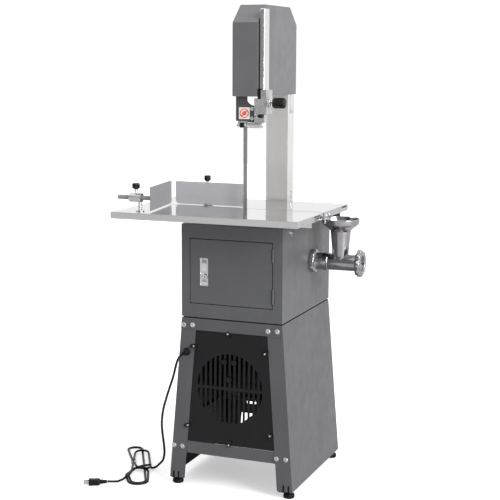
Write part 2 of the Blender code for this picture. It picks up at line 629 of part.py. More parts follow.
def make_clamp_block():
    block = box("post_clamp_block", CLAMP_X, CLAMP_Y, CLAMP_Z)
    bore = box("c", (POST_X[0] - GAP, POST_X[1] + GAP), (POST_Y[0] - GAP, POST_Y[1] + GAP),
               (CLAMP_Z[0] - 0.01, CLAMP_Z[1] + 0.01))
    tapped = rod("c", (0, CLAMP_KNOB_Y, CLAMP_KNOB_Z), "X", 0.060, 0.090, 0.0055)
    finish(cut(block, bore, tapped), "aluminium_casting")


def lobed(name, centre_y, centre_z, x, radius, lobes, depth, sides):
    """A cylinder along X with a wavy rim, for knobs and ring nuts."""
    outline = []
    for index in range(sides):
        angle = 2 * math.pi * index / sides
        reach = radius - depth * (0.5 - 0.5 * math.cos(lobes * angle))
        outline.append((centre_y + reach * math.cos(angle), centre_z + reach * math.sin(angle)))
    return plate(name, outline, "X", *x)


def make_clamp_knob():
    knob = lobed("post_clamp_knob", CLAMP_KNOB_Y, CLAMP_KNOB_Z, (0.0855, 0.1300), CLAMP_KNOB_RADIUS, 10, 0.0016, 40)
    stem = turned("stem", [(0.0645, 0), (0.0645, 0.005), (0.0740, 0.005), (0.0740, 0.013), (0.0780, 0.013),
                           (0.0780, 0.010), (0.0865, 0.010), (0.0865, 0)],
                  (0, CLAMP_KNOB_Y, CLAMP_KNOB_Z), "X", 24)
    finish(join(knob, stem), "black_plastic")
    set_origin(knob, (0.1, CLAMP_KNOB_Y, CLAMP_KNOB_Z))


def make_guide_bracket():
    foot = box("guide_bracket", (0.0285, 0.0635), (-0.115, -0.085), (1.238, 1.2640))
    pieces = [
        box("upright", (0.0285, 0.0425), (-0.115, -0.109), (1.260, 1.318)),
        box("tab", (0.002, 0.022), (-0.1055, -0.1005), (1.2445, 1.290)),
        box("front_bridge", (-0.034, 0.030), (-0.1055, -0.0985), (1.2445, 1.2520)),
        box("rear_bridge", (-0.030, 0.030), (-0.0945, -0.088), (1.2445, 1.2520)),
        box("front_jaw", (-0.034, -0.0040), (-0.1055, -0.0972), (1.2225, 1.2455)),
        box("rear_jaw", (-0.030, -0.0040), (-0.0955, -0.088), (1.2225, 1.2455)),
        rod("axle_housing", (0, ROLLER_Y, ROLLER_Z), "X", 0.0095, 0.050, ROLLER_RADIUS, 24),
    ]
    join(foot, *pieces)
    cut(foot, rod("bore", (0, ROLLER_Y, ROLLER_Z), "X", 0.0, 0.0225, 0.0044, 16))
    finish(foot, "aluminium_casting")


def make_thrust_roller():
    profile = [(-0.0010, 0), (-0.0010, ROLLER_RADIUS - 0.001), (0, ROLLER_RADIUS), (0.0090, ROLLER_RADIUS),
               (0.0090, 0.004), (0.0220, 0.004), (0.0220, 0)]
    roller = turned("thrust_roller", profile, (0, ROLLER_Y, ROLLER_Z), "X", 24)
    finish(roller, "polished_stainless", smooth=True)
    set_origin(roller, (0, ROLLER_Y, ROLLER_Z))


def make_blade_guard():
    notch_centre = (GUARD_X[1], HOUSING_Z[0])
    notch = [point for point in arc(notch_centre, 0.030, 270, 180, 8)]
    outline = [(GUARD_X[0], GUARD_Z[0]), (GUARD_X[1], GUARD_Z[0]), (GUARD_X[1], notch[0][1])]
    outline += notch + [(notch[-1][0], GUARD_Z[1]), (GUARD_X[0], GUARD_Z[1])]
    guard = plate("blade_guard", outline, "Y", GUARD_Y, GUARD_Y + SHEET)
    finish(guard, "black_paint")


def make_guide():
    make_guide_post()
    make_clamp_block()
    make_clamp_knob()
    make_guide_bracket()
    make_thrust_roller()
    make_blade_guard()


# ---- table -------------------------------------------------------------------------------------------
def tray(name, y):
    """A table sheet with lips folded down on all four sides."""
    low, under = TABLE_TOP_Z - TABLE_LIP, TABLE_TOP_Z - SHEET
    sheet = box(name, TABLE_X, y, (low, TABLE_TOP_Z))
    inside = box("c", (TABLE_X[0] + SHEET, TABLE_X[1] - SHEET), (y[0] + SHEET, y[1] - SHEET), (low - 0.01, under))
    return cut(sheet, inside)


def lip_slot(y):
    return box("c", (TABLE_X[1] - 0.01, TABLE_X[1] + 0.01), y, (TABLE_TOP_Z - 0.0085, TABLE_TOP_Z - 0.0035))


def make_tables():
    under = TABLE_TOP_Z - SHEET
    sliding = tray("sliding_table", (TABLE_FRONT, SEAM_Y[0]))
    runners = []
    for y in (-0.187, -0.132):
        runners.append(box("runner", (-0.160, 0.240), (y, y + 0.016), (RAIL_Z[1] + GAP, under + 0.0005)))
    join(sliding, *runners)
    hole = rod("c", (0, TABLE_FRONT + 0.052, TABLE_TOP_Z - 0.014), "X", TABLE_X[1] - 0.01, TABLE_X[1] + 0.01, 0.004, 16)
    finish(cut(sliding, lip_slot((-0.190, -0.133)), hole), "polished_stainless")
    set_origin(sliding, (0, SEAM_Y[0], TABLE_TOP_Z))

    fixed = tray("fixed_table", (SEAM_Y[1], TABLE_REAR))
    legs = []
    for x in (-0.165, 0.140):
        legs.append(box("leg", (x, x + 0.020), (-0.060, 0.160), (CABINET_TOP_Z + GAP, under + 0.0005)))
    join(fixed, *legs)
    finish(cut(fixed, lip_slot((0.106, 0.164))), "polished_stainless")

    rail = box("table_slide_rail", (-0.175, 0.255), (-0.185, -0.173), RAIL_Z)
    others = [box("bar", (-0.175, 0.170), (-0.130, -0.118), RAIL_Z)]
    for x in (-0.175, 0.158):
        others.append(box("bar", (x, x + 0.012), (-0.180, -0.123), (RAIL_Z[0], RAIL_Z[1] - 0.004)))
    finish(join(rail, *others), "polished_stainless")


def make_fence():
    bar_top = TABLE_TOP_Z + GAP + 0.005
    bar = box("fence_guide_bar", (FENCE_KNOB_X - 0.008, FENCE_KNOB_X + 0.008), (-0.060, 0.165),
              (TABLE_TOP_Z + GAP, bar_top))
    finish(bar, "brushed_stainless")

    radius = 0.014
    corner = (FENCE_X[0] + radius, FENCE_Z[0] + radius)
    top_corner = (FENCE_X[0] + 0.003, FENCE_Z[1] - 0.003)
    outline = arc(corner, radius, 180, 270, 6) + [(FENCE_X[1], FENCE_Z[0]), (FENCE_X[1], FENCE_Z[1])]
    outline += arc(top_corner, 0.003, 90, 180, 3)
    fence = plate("fence_plate", outline, "Y", FENCE_Y, FENCE_Y + 0.002)
    block = box("block", (FENCE_KNOB_X - 0.013, FENCE_KNOB_X + 0.013), (FENCE_Y + 0.001, -0.030),
                (FENCE_Z[0] + 0.001, 1.016))
    join(fence, block)
    cut(
        fence,
        box("c", (FENCE_KNOB_X - 0.0085, FENCE_KNOB_X + 0.0085), (FENCE_Y - 0.01, -0.020), (0.940, bar_top + GAP)),
        rod("c", (FENCE_KNOB_X, FENCE_KNOB_Y, 0), "Z", bar_top - 0.001, 1.03, 0.0034, 16),
    )
    finish(fence, "brushed_stainless")
    set_origin(fence, (FENCE_KNOB_X, FENCE_Y, FENCE_Z[0]))
    knob("fence_knob", (FENCE_KNOB_X, FENCE_KNOB_Y), (bar_top + 2 * GAP, 1.0165, 1.0300, 1.0494), 0.0115)


def knob(name, place, levels, radius):
    """A small vertical clamp knob: screw tip, collar, bottom of the grip and top."""
    tip, collar, grip, top = levels
    profile = [(tip, 0), (tip, 0.003), (collar, 0.003), (collar, 0.005), (grip, 0.005), (grip + 0.004, radius),
               (top - 0.0015, radius), (top, radius - 0.0015), (top, 0)]
    made = turned(name, profile, (place[0], place[1], 0), "Z", 20)
    finish(made, "black_plastic", smooth=True)
    set_origin(made, (place[0], place[1], grip))


def pusher_plate():
    """The upright plate on the rod's end, turned a little about the vertical."""
    low, high, thickness, radius = 0.951, 1.030, 0.002, 0.012
    corner = (PUSHER_LENGTH - radius, low + radius)
    outline = [(0, high), (0, low)] + arc(corner, radius, 270, 360, 5) + [(PUSHER_LENGTH, high)]
    made = plate("pusher_plate", outline, "X", -thickness, 0)
    place = Matrix.Translation((PUSHER_CORNER[0], PUSHER_CORNER[1], 0)) @ Matrix.Rotation(PUSHER_TURN, 4, "Z")
    made.data.transform(place)
    return made


def make_pusher():
    sleeve_x = (-0.337, -0.294)
    post = rod("pusher_post", (-0.301, ROD_Y, 0), "Z", TABLE_TOP_Z + GAP, ROD_Z - 0.004, 0.0065, 16)
    base = rod("base", (-0.301, ROD_Y, 0), "Z", TABLE_TOP_Z + GAP, TABLE_TOP_Z + 0.0035, 0.014, 24)
    sleeve = rod("sleeve", (0, ROD_Y, ROD_Z), "X", *sleeve_x, 0.0150, 24)
    join(post, base, sleeve)
    cut(
        post,
        rod("c", (0, ROD_Y, ROD_Z), "X", sleeve_x[0] - 0.01, sleeve_x[1] + 0.01, ROD_RADIUS + 0.0004, 24),
        rod("c", (PUSHER_KNOB_X, ROD_Y, 0), "Z", ROD_Z, ROD_Z + 0.03, 0.0034, 16),
    )
    finish(post, "aluminium_casting")
    tip = ROD_Z + ROD_RADIUS + 2 * GAP
    knob("pusher_knob", (PUSHER_KNOB_X, ROD_Y), (tip, ROD_Z + 0.0155, 1.0200, 1.0400), 0.0130)

    pusher = rod("pusher_rod_and_plate", (0, ROD_Y, ROD_Z), "X", -0.380, -0.2585, ROD_RADIUS, 24)
    finish(join(pusher, pusher_plate()), "brushed_stainless")
    set_origin(pusher, (-0.380, ROD_Y, ROD_Z))


# ---- grinder -----------------------------------------------------------------------------------------
def make_grinder_flange():
    axis = (0, AXIS_Y, LOWER_AXIS_Z)
    profile = [(0.150, 0.0240), (0.1803, 0.0240), (0.1803, 0.0395), (0.1920, 0.0395), (0.1940, 0.0310),
               (0.2440, 0.0310), (0.2440, 0.0233), (0.1965, 0.0233), (0.1965, SHAFT_RADIUS + 0.0004),
               (0.150, SHAFT_RADIUS + 0.0004)]
    flange = turned("grinder_flange", profile, axis, "X", 32)
    boss = rod("boss", (CLAMP_SCREW_X, 0, CLAMP_SCREW_Z), "-Y", -0.0245, -0.0110, 0.0090, 20)
    join(flange, boss)
    cut(flange, rod("c", (CLAMP_SCREW_X, 0, CLAMP_SCREW_Z), "-Y", -0.0290, 0.0, 0.0054, 16))
    finish(flange, "polished_stainless", smooth=True)


def make_grinder_barrel():
    """Barrel with its rear spigot and front thread collar, and the feed tube on top, bored through."""
    axis = (0, AXIS_Y, LOWER_AXIS_Z)
    barrel = turned("grinder_barrel", [
        (0.1995, 0), (0.1995, 0.0230), (0.2443, 0.0230), (0.2443, BARREL_RADIUS), (0.3420, BARREL_RADIUS),
        (0.3420, 0.0335), (BARREL_END_X, 0.0335), (BARREL_END_X, 0),
    ], axis, "X", 32)
    feed_centre = (FEED_X, AXIS_Y, 0)
    tube = turned("tube", [(LOWER_AXIS_Z + 0.004, 0), (LOWER_AXIS_Z + 0.004, 0.0262), (0.800, 0.0290),
                           (FUNNEL_Z[0], 0.0345), (FUNNEL_Z[0], 0)], feed_centre, "Z", 32)
    join(barrel, tube)
    cut(
        barrel,
        rod("c", axis, "X", 0.19, 0.36, BARREL_BORE - 0.0045, 24),
        rod("c", axis, "X", 0.2460, 0.36, BARREL_BORE, 32),
        turned("c", [(LOWER_AXIS_Z + 0.002, 0), (LOWER_AXIS_Z + 0.002, 0.0195), (FUNNEL_Z[0] + 0.01, 0.0322),
                     (FUNNEL_Z[0] + 0.01, 0)], feed_centre, "Z", 30),
    )
    finish(barrel, "polished_stainless", smooth=True)


def make_funnel():
    low, high = FUNNEL_Z[0] + GAP, FUNNEL_Z[1]
    wall_low = high - 0.0215
    profile = [
        (low, 0.0365), (wall_low, FUNNEL_RADIUS - 0.0035), (high - 0.003, FUNNEL_RADIUS - 0.001),
        (high, FUNNEL_RADIUS), (high, FUNNEL_RADIUS - 0.0035), (wall_low + 0.002, FUNNEL_RADIUS - 0.0065),
        (low + 0.003, 0.0325), (low, 0.0320),
    ]
    funnel = turned("feed_funnel", profile, (FEED_X, AXIS_Y, 0), "Z", 40)
    finish(funnel, "polished_stainless", smooth=True)


def make_auger():
    """A core with one helical flight: the same section, turned as it goes along X."""
    start, stop, pitch, sides, steps = 0.2480, 0.3350, 0.030, 20, 26
    bm = bmesh.new()
    rings = []
    for step in range(steps + 1):
        x = start + (stop - start) * step / steps
        ring = []
        for index in range(sides):
            angle = 2 * math.pi * index / sides
            off_crest = abs((index + sides / 2) % sides - sides / 2) / sides
            radius = 0.0095 + 0.0115 * max(0.0, 1 - off_crest / 0.17)
            turn = angle + 2 * math.pi * (x - start) / pitch
            ring.append(bm.verts.new((x, AXIS_Y + radius * math.cos(turn), LOWER_AXIS_Z + radius * math.sin(turn))))
        rings.append(ring)
    for low, high in zip(rings, rings[1:]):
        for index in range(sides):
            after = (index + 1) % sides
            bm.faces.new((low[index], low[after], high[after]))
            bm.faces.new((low[index], high[after], high[index]))
    bm.faces.new(rings[0])
    bm.faces.new(rings[-1])
    auger = new_object("auger", bm)
    tail = rod("tail", (0, AXIS_Y, LOWER_AXIS_Z), "X", 0.1990, 0.2500, 0.0085, 20)
    nose = rod("nose", (0, AXIS_Y, LOWER_AXIS_Z), "X", 0.3340, 0.3560, 0.0048, 16)
    finish(join(auger, tail, nose), "zinc_steel", smooth=True)
    set_origin(auger, (0.2, AXIS_Y, LOWER_AXIS_Z))


def make_knife():
    outline = []
    for arm in range(4):
        turn = arm * 90
        for lead, radius in ((-42, 0.010), (-14, 0.0215), (10, 0.0215), (40, 0.010)):
            angle = math.radians(turn + lead)
            outline.append((AXIS_Y + radius * math.cos(angle), LOWER_AXIS_Z + radius * math.sin(angle)))
    knife = plate("grinder_knife", outline, "X", 0.3425, 0.3488)
    bore = rod("c", (0, AXIS_Y, LOWER_AXIS_Z), "X", 0.33, 0.36, 0.0051, 16)
    finish(cut(knife, bore), "blade_steel")
    set_origin(knife, (0.3425, AXIS_Y, LOWER_AXIS_Z))


def make_grinder_plate():
    disc = rod("grinder_plate", (0, AXIS_Y, LOWER_AXIS_Z), "X", 0.3495, 0.3560, 0.0330, 32)
    cutters = [rod("c", (0, AXIS_Y, LOWER_AXIS_Z), "X", 0.34, 0.37, 0.0052, 12)]
    for count, reach, start in ((6, 0.0115, 0), (10, 0.0200, 18)):
        for index in range(count):
            angle = math.radians(start + 360 * index / count)
            centre = (0, AXIS_Y + reach * math.cos(angle), LOWER_AXIS_Z + reach * math.sin(angle))
            cutters.append(rod("c", centre, "X", 0.34, 0.37, 0.0038, 8))
    finish(cut(disc, *cutters), "zinc_steel")


def make_ring_nut():
    nut = lobed("ring_nut", AXIS_Y, LOWER_AXIS_Z, NUT_X, NUT_RADIUS, 8, 0.0050, 64)
    axis = (0, AXIS_Y, LOWER_AXIS_Z)
    cut(
        nut,
        rod("c", axis, "X", NUT_X[0] - 0.01, 0.3563, 0.0340, 32),
        rod("c", axis, "X", 0.35, NUT_X[1] + 0.01, 0.0265, 32),
    )
    finish(nut, "polished_stainless", smooth=True)
    set_origin(nut, (NUT_X[0], AXIS_Y, LOWER_AXIS_Z))


def make_clamp_screw():
    profile = [(-0.0262, 0), (-0.0262, 0.0050), (-0.0105, 0.0050), (-0.0105, 0.0070), (-0.0060, 0.0070),
               (-0.0060, 0)]
    screw = turned("barrel_clamp_screw", profile, (CLAMP_SCREW_X, 0, CLAMP_SCREW_Z), "-Y", 20)
    finish(screw, "zinc_steel", smooth=True)
    set_origin(screw, (CLAMP_SCREW_X, 0.0105, CLAMP_SCREW_Z))


def make_grinder():
    make_grinder_flange()
    make_grinder_barrel()
    make_funnel()
    make_auger()
    make_knife()
    make_grinder_plate()
    make_ring_nut()
    make_clamp_screw()


# ---- switch and mains cord ---------------------------------------------------------------------------
def make_switch():
    middle = ((SWITCH_Y[0] + SWITCH_Y[1]) / 2, (SWITCH_Z[0] + SWITCH_Z[1]) / 2)
    case = box("switch_box", SWITCH_X, SWITCH_Y, SWITCH_Z)
    cut(case, rod("c", (0, *middle), "X", SWITCH_X[1] - 0.009, SWITCH_X[1] + 0.01, 0.0114, 24))
    finish(case, "black_plastic")
    button = rod("switch_button", (0, *middle), "X", SWITCH_X[1] - 0.0050, SWITCH_X[1] + 0.0045, 0.0110, 24)
    finish(button, "black_plastic", smooth=True)
    set_origin(button, (SWITCH_X[1], *middle))


def smooth_route(points):
    """Dense points on the Catmull-Rom curve through the given points."""
    knots = [Vector(point) for point in points]
    knots = [2 * knots[0] - knots[1]] + knots + [2 * knots[-1] - knots[-2]]
    dense = []
    for p0, p1, p2, p3 in zip(knots, knots[1:], knots[2:], knots[3:]):
        for step in range(12):
            t = step / 12
            dense.append(0.5 * (2 * p1 + (p2 - p0) * t + (2 * p0 - 5 * p1 + 4 * p2 - p3) * t ** 2
                                + (3 * p1 - p0 - 3 * p2 + p3) * t ** 3))
    return dense + [knots[-2]]


def thin(points, spacing):
    """Keep points about a spacing apart, with one near each end so that the end caps stand square."""
    kept = [points[0]]
    for point in points[1:]:
        step = spacing / 5 if len(kept) == 1 else spacing
        near_end = (point - points[-1]).length < spacing / 2
        if (point - kept[-1]).length >= step and not near_end:
            kept.append(point)
    before_end = min(points, key=lambda point: abs((point - points[-1]).length - spacing / 5))
    return kept + [before_end, points[-1]]


def cord_tube(name, route):
    curve = bpy.data.curves.new(name, "CURVE")
    curve.dimensions = "3D"
    curve.bevel_depth = CORD_RADIUS
    curve.bevel_resolution = 2
    curve.resolution_u = 1
    curve.render_resolution_u = 0
    curve.use_fill_caps = True
    spline = curve.splines.new("POLY")
    spline.points.add(len(route) - 1)
    for point, place in zip(spline.points, route):
        point.co = (*place, 1.0)
    tube = bpy.data.objects.new(name, curve)
    bpy.context.scene.collection.objects.link(tube)
    curve.materials.append(MATERIALS["black_rubber"])
    return tube


def bundle_outline(grow=0.0):
    points = []
    for x, y, radius in BUNDLE_LOBES:
        points += arc((x, y), radius + grow, 0, 345, 23)
    return hull([(round(px, 6), round(py, 6)) for px, py in points])


def outside_bundle(point):
    """True where a cord point, with its radius and a gap, is clear of the bundle's outline."""
    outline = bundle_outline(CORD_RADIUS * 1.2)
    for (ax, ay), (bx, by) in zip(outline, outline[1:] + outline[:1]):
        if (bx - ax) * (point.y - ay) - (by - ay) * (point.x - ax) < 0:
            return True
    return False


def make_cord():
    front_y = front(GLAND_Z)
    base = -front_y + GAP
    gland = turned("cord_gland", [
        (base, 0), (base, 0.0140), (base + 0.004, 0.0140), (base + 0.006, 0.0105), (base + 0.012, 0.0095),
        (-CORD_START_Y - 0.0010, 0.0055), (-CORD_START_Y - 0.0010, 0),
    ], (GLAND_X, 0, GLAND_Z), "-Y", 24)
    finish(gland, "black_plastic", smooth=True)

    spacing = 2.2 * CORD_RADIUS * 2
    drop = [point for point in smooth_route(CORD_DROP) if outside_bundle(point)]
    cord_tube("cord_drop", thin(drop, spacing))
    tail = [point for point in smooth_route(CORD_TAIL) if outside_bundle(point)]
    cord_tube("cord_tail", thin(tail, spacing))
    bundle = plate("cord_bundle", bundle_outline(), "Z", *BUNDLE_Z)
    finish(bundle, "black_rubber")


def make_plug():
    """Moulded plug lying on the floor, made along +Z and then laid along the cord."""
    relief = turned("plug", [(0, 0), (0, 0.0060), (0.020, 0.0085), (0.022, 0.0120), (0.026, 0.0120), (0.026, 0)],
                    (0, 0, 0), "Z", 20)
    body = loft("body", [
        [(x, y, level) for x, y in ((-w, -h), (w, -h), (w, h), (-w, h))]
        for level, w, h in ((0.024, 0.010, 0.009), (0.034, 0.013, 0.0115), (0.060, 0.013, 0.0115), (0.063, 0.012, 0.0105))
    ])
    pins = []
    for side in (-1, 1):
        edges = sorted((side * 0.0056, side * 0.0071))
        pins.append(box("pin", edges, (-0.0010, 0.0053), (0.062, 0.080)))
    pins.append(rod("pin", (0, -0.0058, 0), "Z", 0.062, 0.082, 0.0024, 12))
    plug = join(relief, body, *pins)
    along = Vector(PLUG_DIRECTION).normalized()
    up = Vector((0, 0, 1))
    across = along.cross(up)
    turn = Matrix((across, up, along)).transposed().to_4x4()
    plug.data.transform(Matrix.Translation(PLUG_REAR) @ turn)
    if turn.determinant() < 0:
        plug.data.flip_normals()
    finish(plug, "black_plastic")


def hang_on_machine():
    """Parent every object to the empty that carries the machine frame."""
    machine = bpy.data.objects.new("machine", None)
    bpy.context.scene.collection.objects.link(machine)
    machine.location = (MACHINE_X, MACHINE_Y, 0)
    for piece in bpy.context.scene.objects:
        if piece is not machine:
            piece.parent = machine


clear_scene()
MATERIALS = make_materials()
make_stand_sides()
make_stand_sheets()
make_feet()
make_cabinet()
make_door()
make_door_latch()
make_door_hinges()
make_drive()
make_housing()
make_column()
make_upper_axle()
make_guide()
make_tables()
make_fence()
make_pusher()
make_grinder()
make_switch()
make_cord()
make_plug()
hang_on_machine()
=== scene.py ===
"""Looks of a freestanding butcher's band saw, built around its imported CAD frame.

Machine frame: x = 0 on the cabinet's middle plane, +X to the grinder, +Y back, z = 0 on the floor.
at(x, y, z) turns a point of the machine frame into the row frame.
"""
import math

import bmesh
import bpy
from mathutils import Matrix, Vector


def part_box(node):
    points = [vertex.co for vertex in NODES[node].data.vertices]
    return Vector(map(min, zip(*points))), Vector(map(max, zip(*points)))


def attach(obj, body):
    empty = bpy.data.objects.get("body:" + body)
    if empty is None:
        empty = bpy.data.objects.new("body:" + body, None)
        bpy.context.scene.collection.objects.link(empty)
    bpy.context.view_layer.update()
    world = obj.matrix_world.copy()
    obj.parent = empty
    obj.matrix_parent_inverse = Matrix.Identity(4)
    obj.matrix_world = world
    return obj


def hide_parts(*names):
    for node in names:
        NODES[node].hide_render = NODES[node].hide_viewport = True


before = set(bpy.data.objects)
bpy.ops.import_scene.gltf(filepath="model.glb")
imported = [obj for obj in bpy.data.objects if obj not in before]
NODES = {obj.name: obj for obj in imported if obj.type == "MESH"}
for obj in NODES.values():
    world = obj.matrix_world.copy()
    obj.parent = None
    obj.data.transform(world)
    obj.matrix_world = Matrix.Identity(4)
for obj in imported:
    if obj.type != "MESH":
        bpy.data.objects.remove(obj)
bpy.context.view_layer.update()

# ---- places that the frame gives -----------------------------------------------------------------
CABINET_LOW, CABINET_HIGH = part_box("cabinet_shell")
WHEEL_LOW, WHEEL_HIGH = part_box("lower_wheel")
AXIS_Y, AXIS_Z = 0.0505, (WHEEL_LOW.z + WHEEL_HIGH.z) / 2
SHIFT = Vector(((CABINET_LOW.x + CABINET_HIGH.x) / 2, (WHEEL_LOW.y + WHEEL_HIGH.y) / 2 - AXIS_Y, 0))
UPPER_LOW, UPPER_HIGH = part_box("upper_wheel")
UPPER_Z = (UPPER_LOW.z + UPPER_HIGH.z) / 2
CABINET_FRONT = CABINET_LOW.y - SHIFT.y
CABINET_RIGHT = CABINET_HIGH.x - SHIFT.x
COLUMN_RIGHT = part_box("column")[1].x - SHIFT.x
TABLE_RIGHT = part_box("fixed_table")[1].x - SHIFT.x
GUARD_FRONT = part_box("blade_guard")[0].y - SHIFT.y
STAND_SLOPE = (0.0095, 0.562)           # the stand's front leans back by this much over this height
STAND_FRONT_LOW, LEG_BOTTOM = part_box("stand_left_side")[0].y - SHIFT.y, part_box("stand_left_side")[0].z
SHEET = 0.0015

# ---- camera --------------------------------------------------------------------------------------
CAMERA_PLACE = (1.517, -3.917, 1.4445)
CAMERA_YAW, CAMERA_PITCH, CAMERA_ROLL = 21.66, -8.85, 0.24
CAMERA_LENS, CAMERA_SHIFT = 88.13, (0.0048, 0.0006)

ROOM_DARK, ROOM_WHITE, ROOM_TURN, ROOM_TOP = 0.28, 1.0, (-0.30, 0.20), (0.45, 0.85)
KEY_STRENGTH, TOP_POWER, BOX_POWER = 2.7, 14, 30
FLOOR_GLOW, FLOOR_BOUNCE, FLOOR_HALF = 0.47, 0.55, 12.0

# ---- cord ----------------------------------------------------------------------------------------
CORD_DIAMETER = 0.008
CORD_DROP = [
    (-0.1614, -0.2723, 0.4695), (-0.1616, -0.284, 0.4690), (-0.1626, -0.296, 0.4655), (-0.1648, -0.3055, 0.4575),
    (-0.1680, -0.3105, 0.4450), (-0.1720, -0.3110, 0.4300), (-0.1860, -0.3030, 0.3900), (-0.2080, -0.2900, 0.3400),
    (-0.2330, -0.2740, 0.2800), (-0.2465, -0.2600, 0.2410), (-0.2560, -0.2450, 0.2030), (-0.2640, -0.2220, 0.1590),
    (-0.2710, -0.1970, 0.1120), (-0.2800, -0.1760, 0.0760), (-0.2950, -0.1590, 0.0440), (-0.3170, -0.1500, 0.0210),
]
# The floor turns are bends (x, y, radius, 1 left or -1 right), joined by straights that touch them.
CORD_TURNS = [
    # off the drop
    (-0.3397, -0.2055, 0.0600, 1), (-0.3560, -0.1880, 0.0360, 1),
    # outer front turn
    (-0.3620, -0.2340, 0.0360, 1), (-0.3310, -0.2810, 0.0340, 1),
    # inner front turn
    (-0.3640, -0.1970, 0.0275, 1), (-0.3620, -0.2340, 0.0275, 1), (-0.3310, -0.2790, 0.0255, 1),
    # the two long turns
    (-0.4950, 0.0220, 0.0260, 1), (-0.3700, -0.1620, 0.0260, 1), (-0.4480, -0.0180, 0.0255, 1),
    # and back across the knot
    (-0.4720, -0.2620, 0.0960, -1),
]
CORD_TAIL = [
    (-0.3740, -0.2700, 0.0045), (-0.3820, -0.2980, 0.0045), (-0.3890, -0.3190, 0.0065), (-0.3960, -0.3360, 0.0105),
    (-0.4050, -0.3450, 0.0125), (-0.4138, -0.3494, 0.0125),
]
CORD_LANDING = 0.034                    # length over which the falling cord flattens out
TIE_PLACE, TIE_TURN, TIE_REACH = (-0.4310, -0.1180, 0.0092), math.radians(28), (0.0090, 0.0096)
PLUG_REAR, PLUG_DIRECTION = Vector((-0.4146, -0.3501, 0.0125)), Vector((-0.894, -0.447, 0.0))


def at(x, y, z):
    return Vector((x, y, z)) + SHIFT


def stand_front(z):
    """y of the stand's front surface at height z."""
    return STAND_FRONT_LOW + STAND_SLOPE[0] * (z - LEG_BOTTOM) / STAND_SLOPE[1]


# ---- materials -----------------------------------------------------------------------------------
class Material:
    """A Principled material with small helpers for the nodes that give it its grain."""

    def __init__(self, name, colour, roughness, metallic=0.0):
        self.made = bpy.data.materials.new(name)
        self.made.use_nodes = True
        self.tree = self.made.node_tree
        self.shader = self.tree.nodes["Principled BSDF"]
        self.colour = (*colour, 1.0)
        self.shader.inputs["Base Color"].default_value = self.colour
        self.shader.inputs["Metallic"].default_value = metallic
        self.shader.inputs["Roughness"].default_value = roughness
        self.roughness = roughness
        self.height = None

    def node(self, kind, **values):
        made = self.tree.nodes.new(kind)
        for key, value in values.items():
            setattr(made, key, value)
        return made

    def link(self, source, target):
        self.tree.links.new(source, target)

    def noise(self, scale, detail=3.0, stretch=(1, 1, 1)):
        """Noise in the object's own metres, drawn out along an axis by a small stretch number."""
        place = self.node("ShaderNodeTexCoord")
        mapping = self.node("ShaderNodeMapping")
        mapping.inputs["Scale"].default_value = stretch
        made = self.node("ShaderNodeTexNoise")
        made.inputs["Scale"].default_value = scale
        made.inputs["Detail"].default_value = detail
        self.link(place.outputs["Object"], mapping.inputs["Vector"])
        self.link(mapping.outputs["Vector"], made.inputs["Vector"])
        return made.outputs["Fac"]

    def spread(self, value, low, high, from_low=0.3, from_high=0.7):
        made = self.node("ShaderNodeMapRange")
        for key, number in (("From Min", from_low), ("From Max", from_high), ("To Min", low), ("To Max", high)):
            made.inputs[key].default_value = number
        self.link(value, made.inputs["Value"])
        return made.outputs["Result"]

    def tint(self, value, low, high):
        """Colour that runs from low to high times the base colour as value goes from 0.3 to 0.7."""
        current = self.shader.inputs["Base Color"]
        mix = self.node("ShaderNodeMix", data_type="RGBA", blend_type="MULTIPLY")
        mix.inputs["Factor"].default_value = 1.0
        shade = self.spread(value, low, high)
        if current.is_linked:
            self.link(current.links[0].from_socket, mix.inputs["A"])
        else:
            mix.inputs["A"].default_value = self.colour
        self.link(shade, mix.inputs["B"])
        self.link(mix.outputs["Result"], current)

    def rough(self, value, low, high):
        self.link(self.spread(value, low, high), self.shader.inputs["Roughness"])

    def bump(self, value, distance, strength=1.0):
        made = self.node("ShaderNodeBump")
        made.inputs["Distance"].default_value = distance
        made.inputs["Strength"].default_value = strength
        self.link(value, made.inputs["Height"])
        if self.height is not None:
            self.link(self.height, made.inputs["Normal"])
        self.height = made.outputs["Normal"]
        self.link(self.height, self.shader.inputs["Normal"])


def paint(name, colour, roughness=0.42, shine=0.5):
    """Powder coat: fine orange peel, a slightly uneven gloss and faint handling marks."""
    made = Material(name, colour, roughness)
    made.shader.inputs["Specular IOR Level"].default_value = shine
    made.tint(made.noise(5.0, 4), 0.90, 1.08)
    made.tint(made.noise(850.0, 2), 0.94, 1.06)
    made.rough(made.noise(24.0, 5), roughness - 0.07, roughness + 0.08)
    made.bump(made.noise(620.0, 2), 0.00008)
    made.bump(made.noise(9.0, 2), 0.0008, 0.25)
    return made.made


def mirror_steel(name, colour=(0.76, 0.75, 0.76), roughness=0.10, waves=0.00010):
    """Polished stainless sheet: a little haze, hairlines one way and a slightly wavy face."""
    made = Material(name, colour, roughness, 1.0)
    made.tint(made.noise(3.5, 3), 0.93, 1.04)
    made.rough(made.noise(14.0, 6), roughness - 0.035, roughness + 0.05)
    made.bump(made.noise(260.0, 3, (0.02, 1, 1)), 0.000012, 0.6)
    made.bump(made.noise(5.0, 1), waves)
    return made.made


def brushed_steel(name, colour, stretch, roughness=0.32, streak=0.14, metallic=1.0):
    """Stainless brushed along the axis whose stretch number is small."""
    made = Material(name, colour, roughness, metallic)
    grain = made.noise(900.0, 4, stretch)
    made.tint(grain, 1 - streak, 1 + streak * 0.6)
    made.tint(made.noise(6.0, 3), 0.93, 1.05)
    made.rough(made.noise(420.0, 3, stretch), roughness - 0.08, roughness + 0.10)
    made.bump(grain, 0.000035)
    return made.made


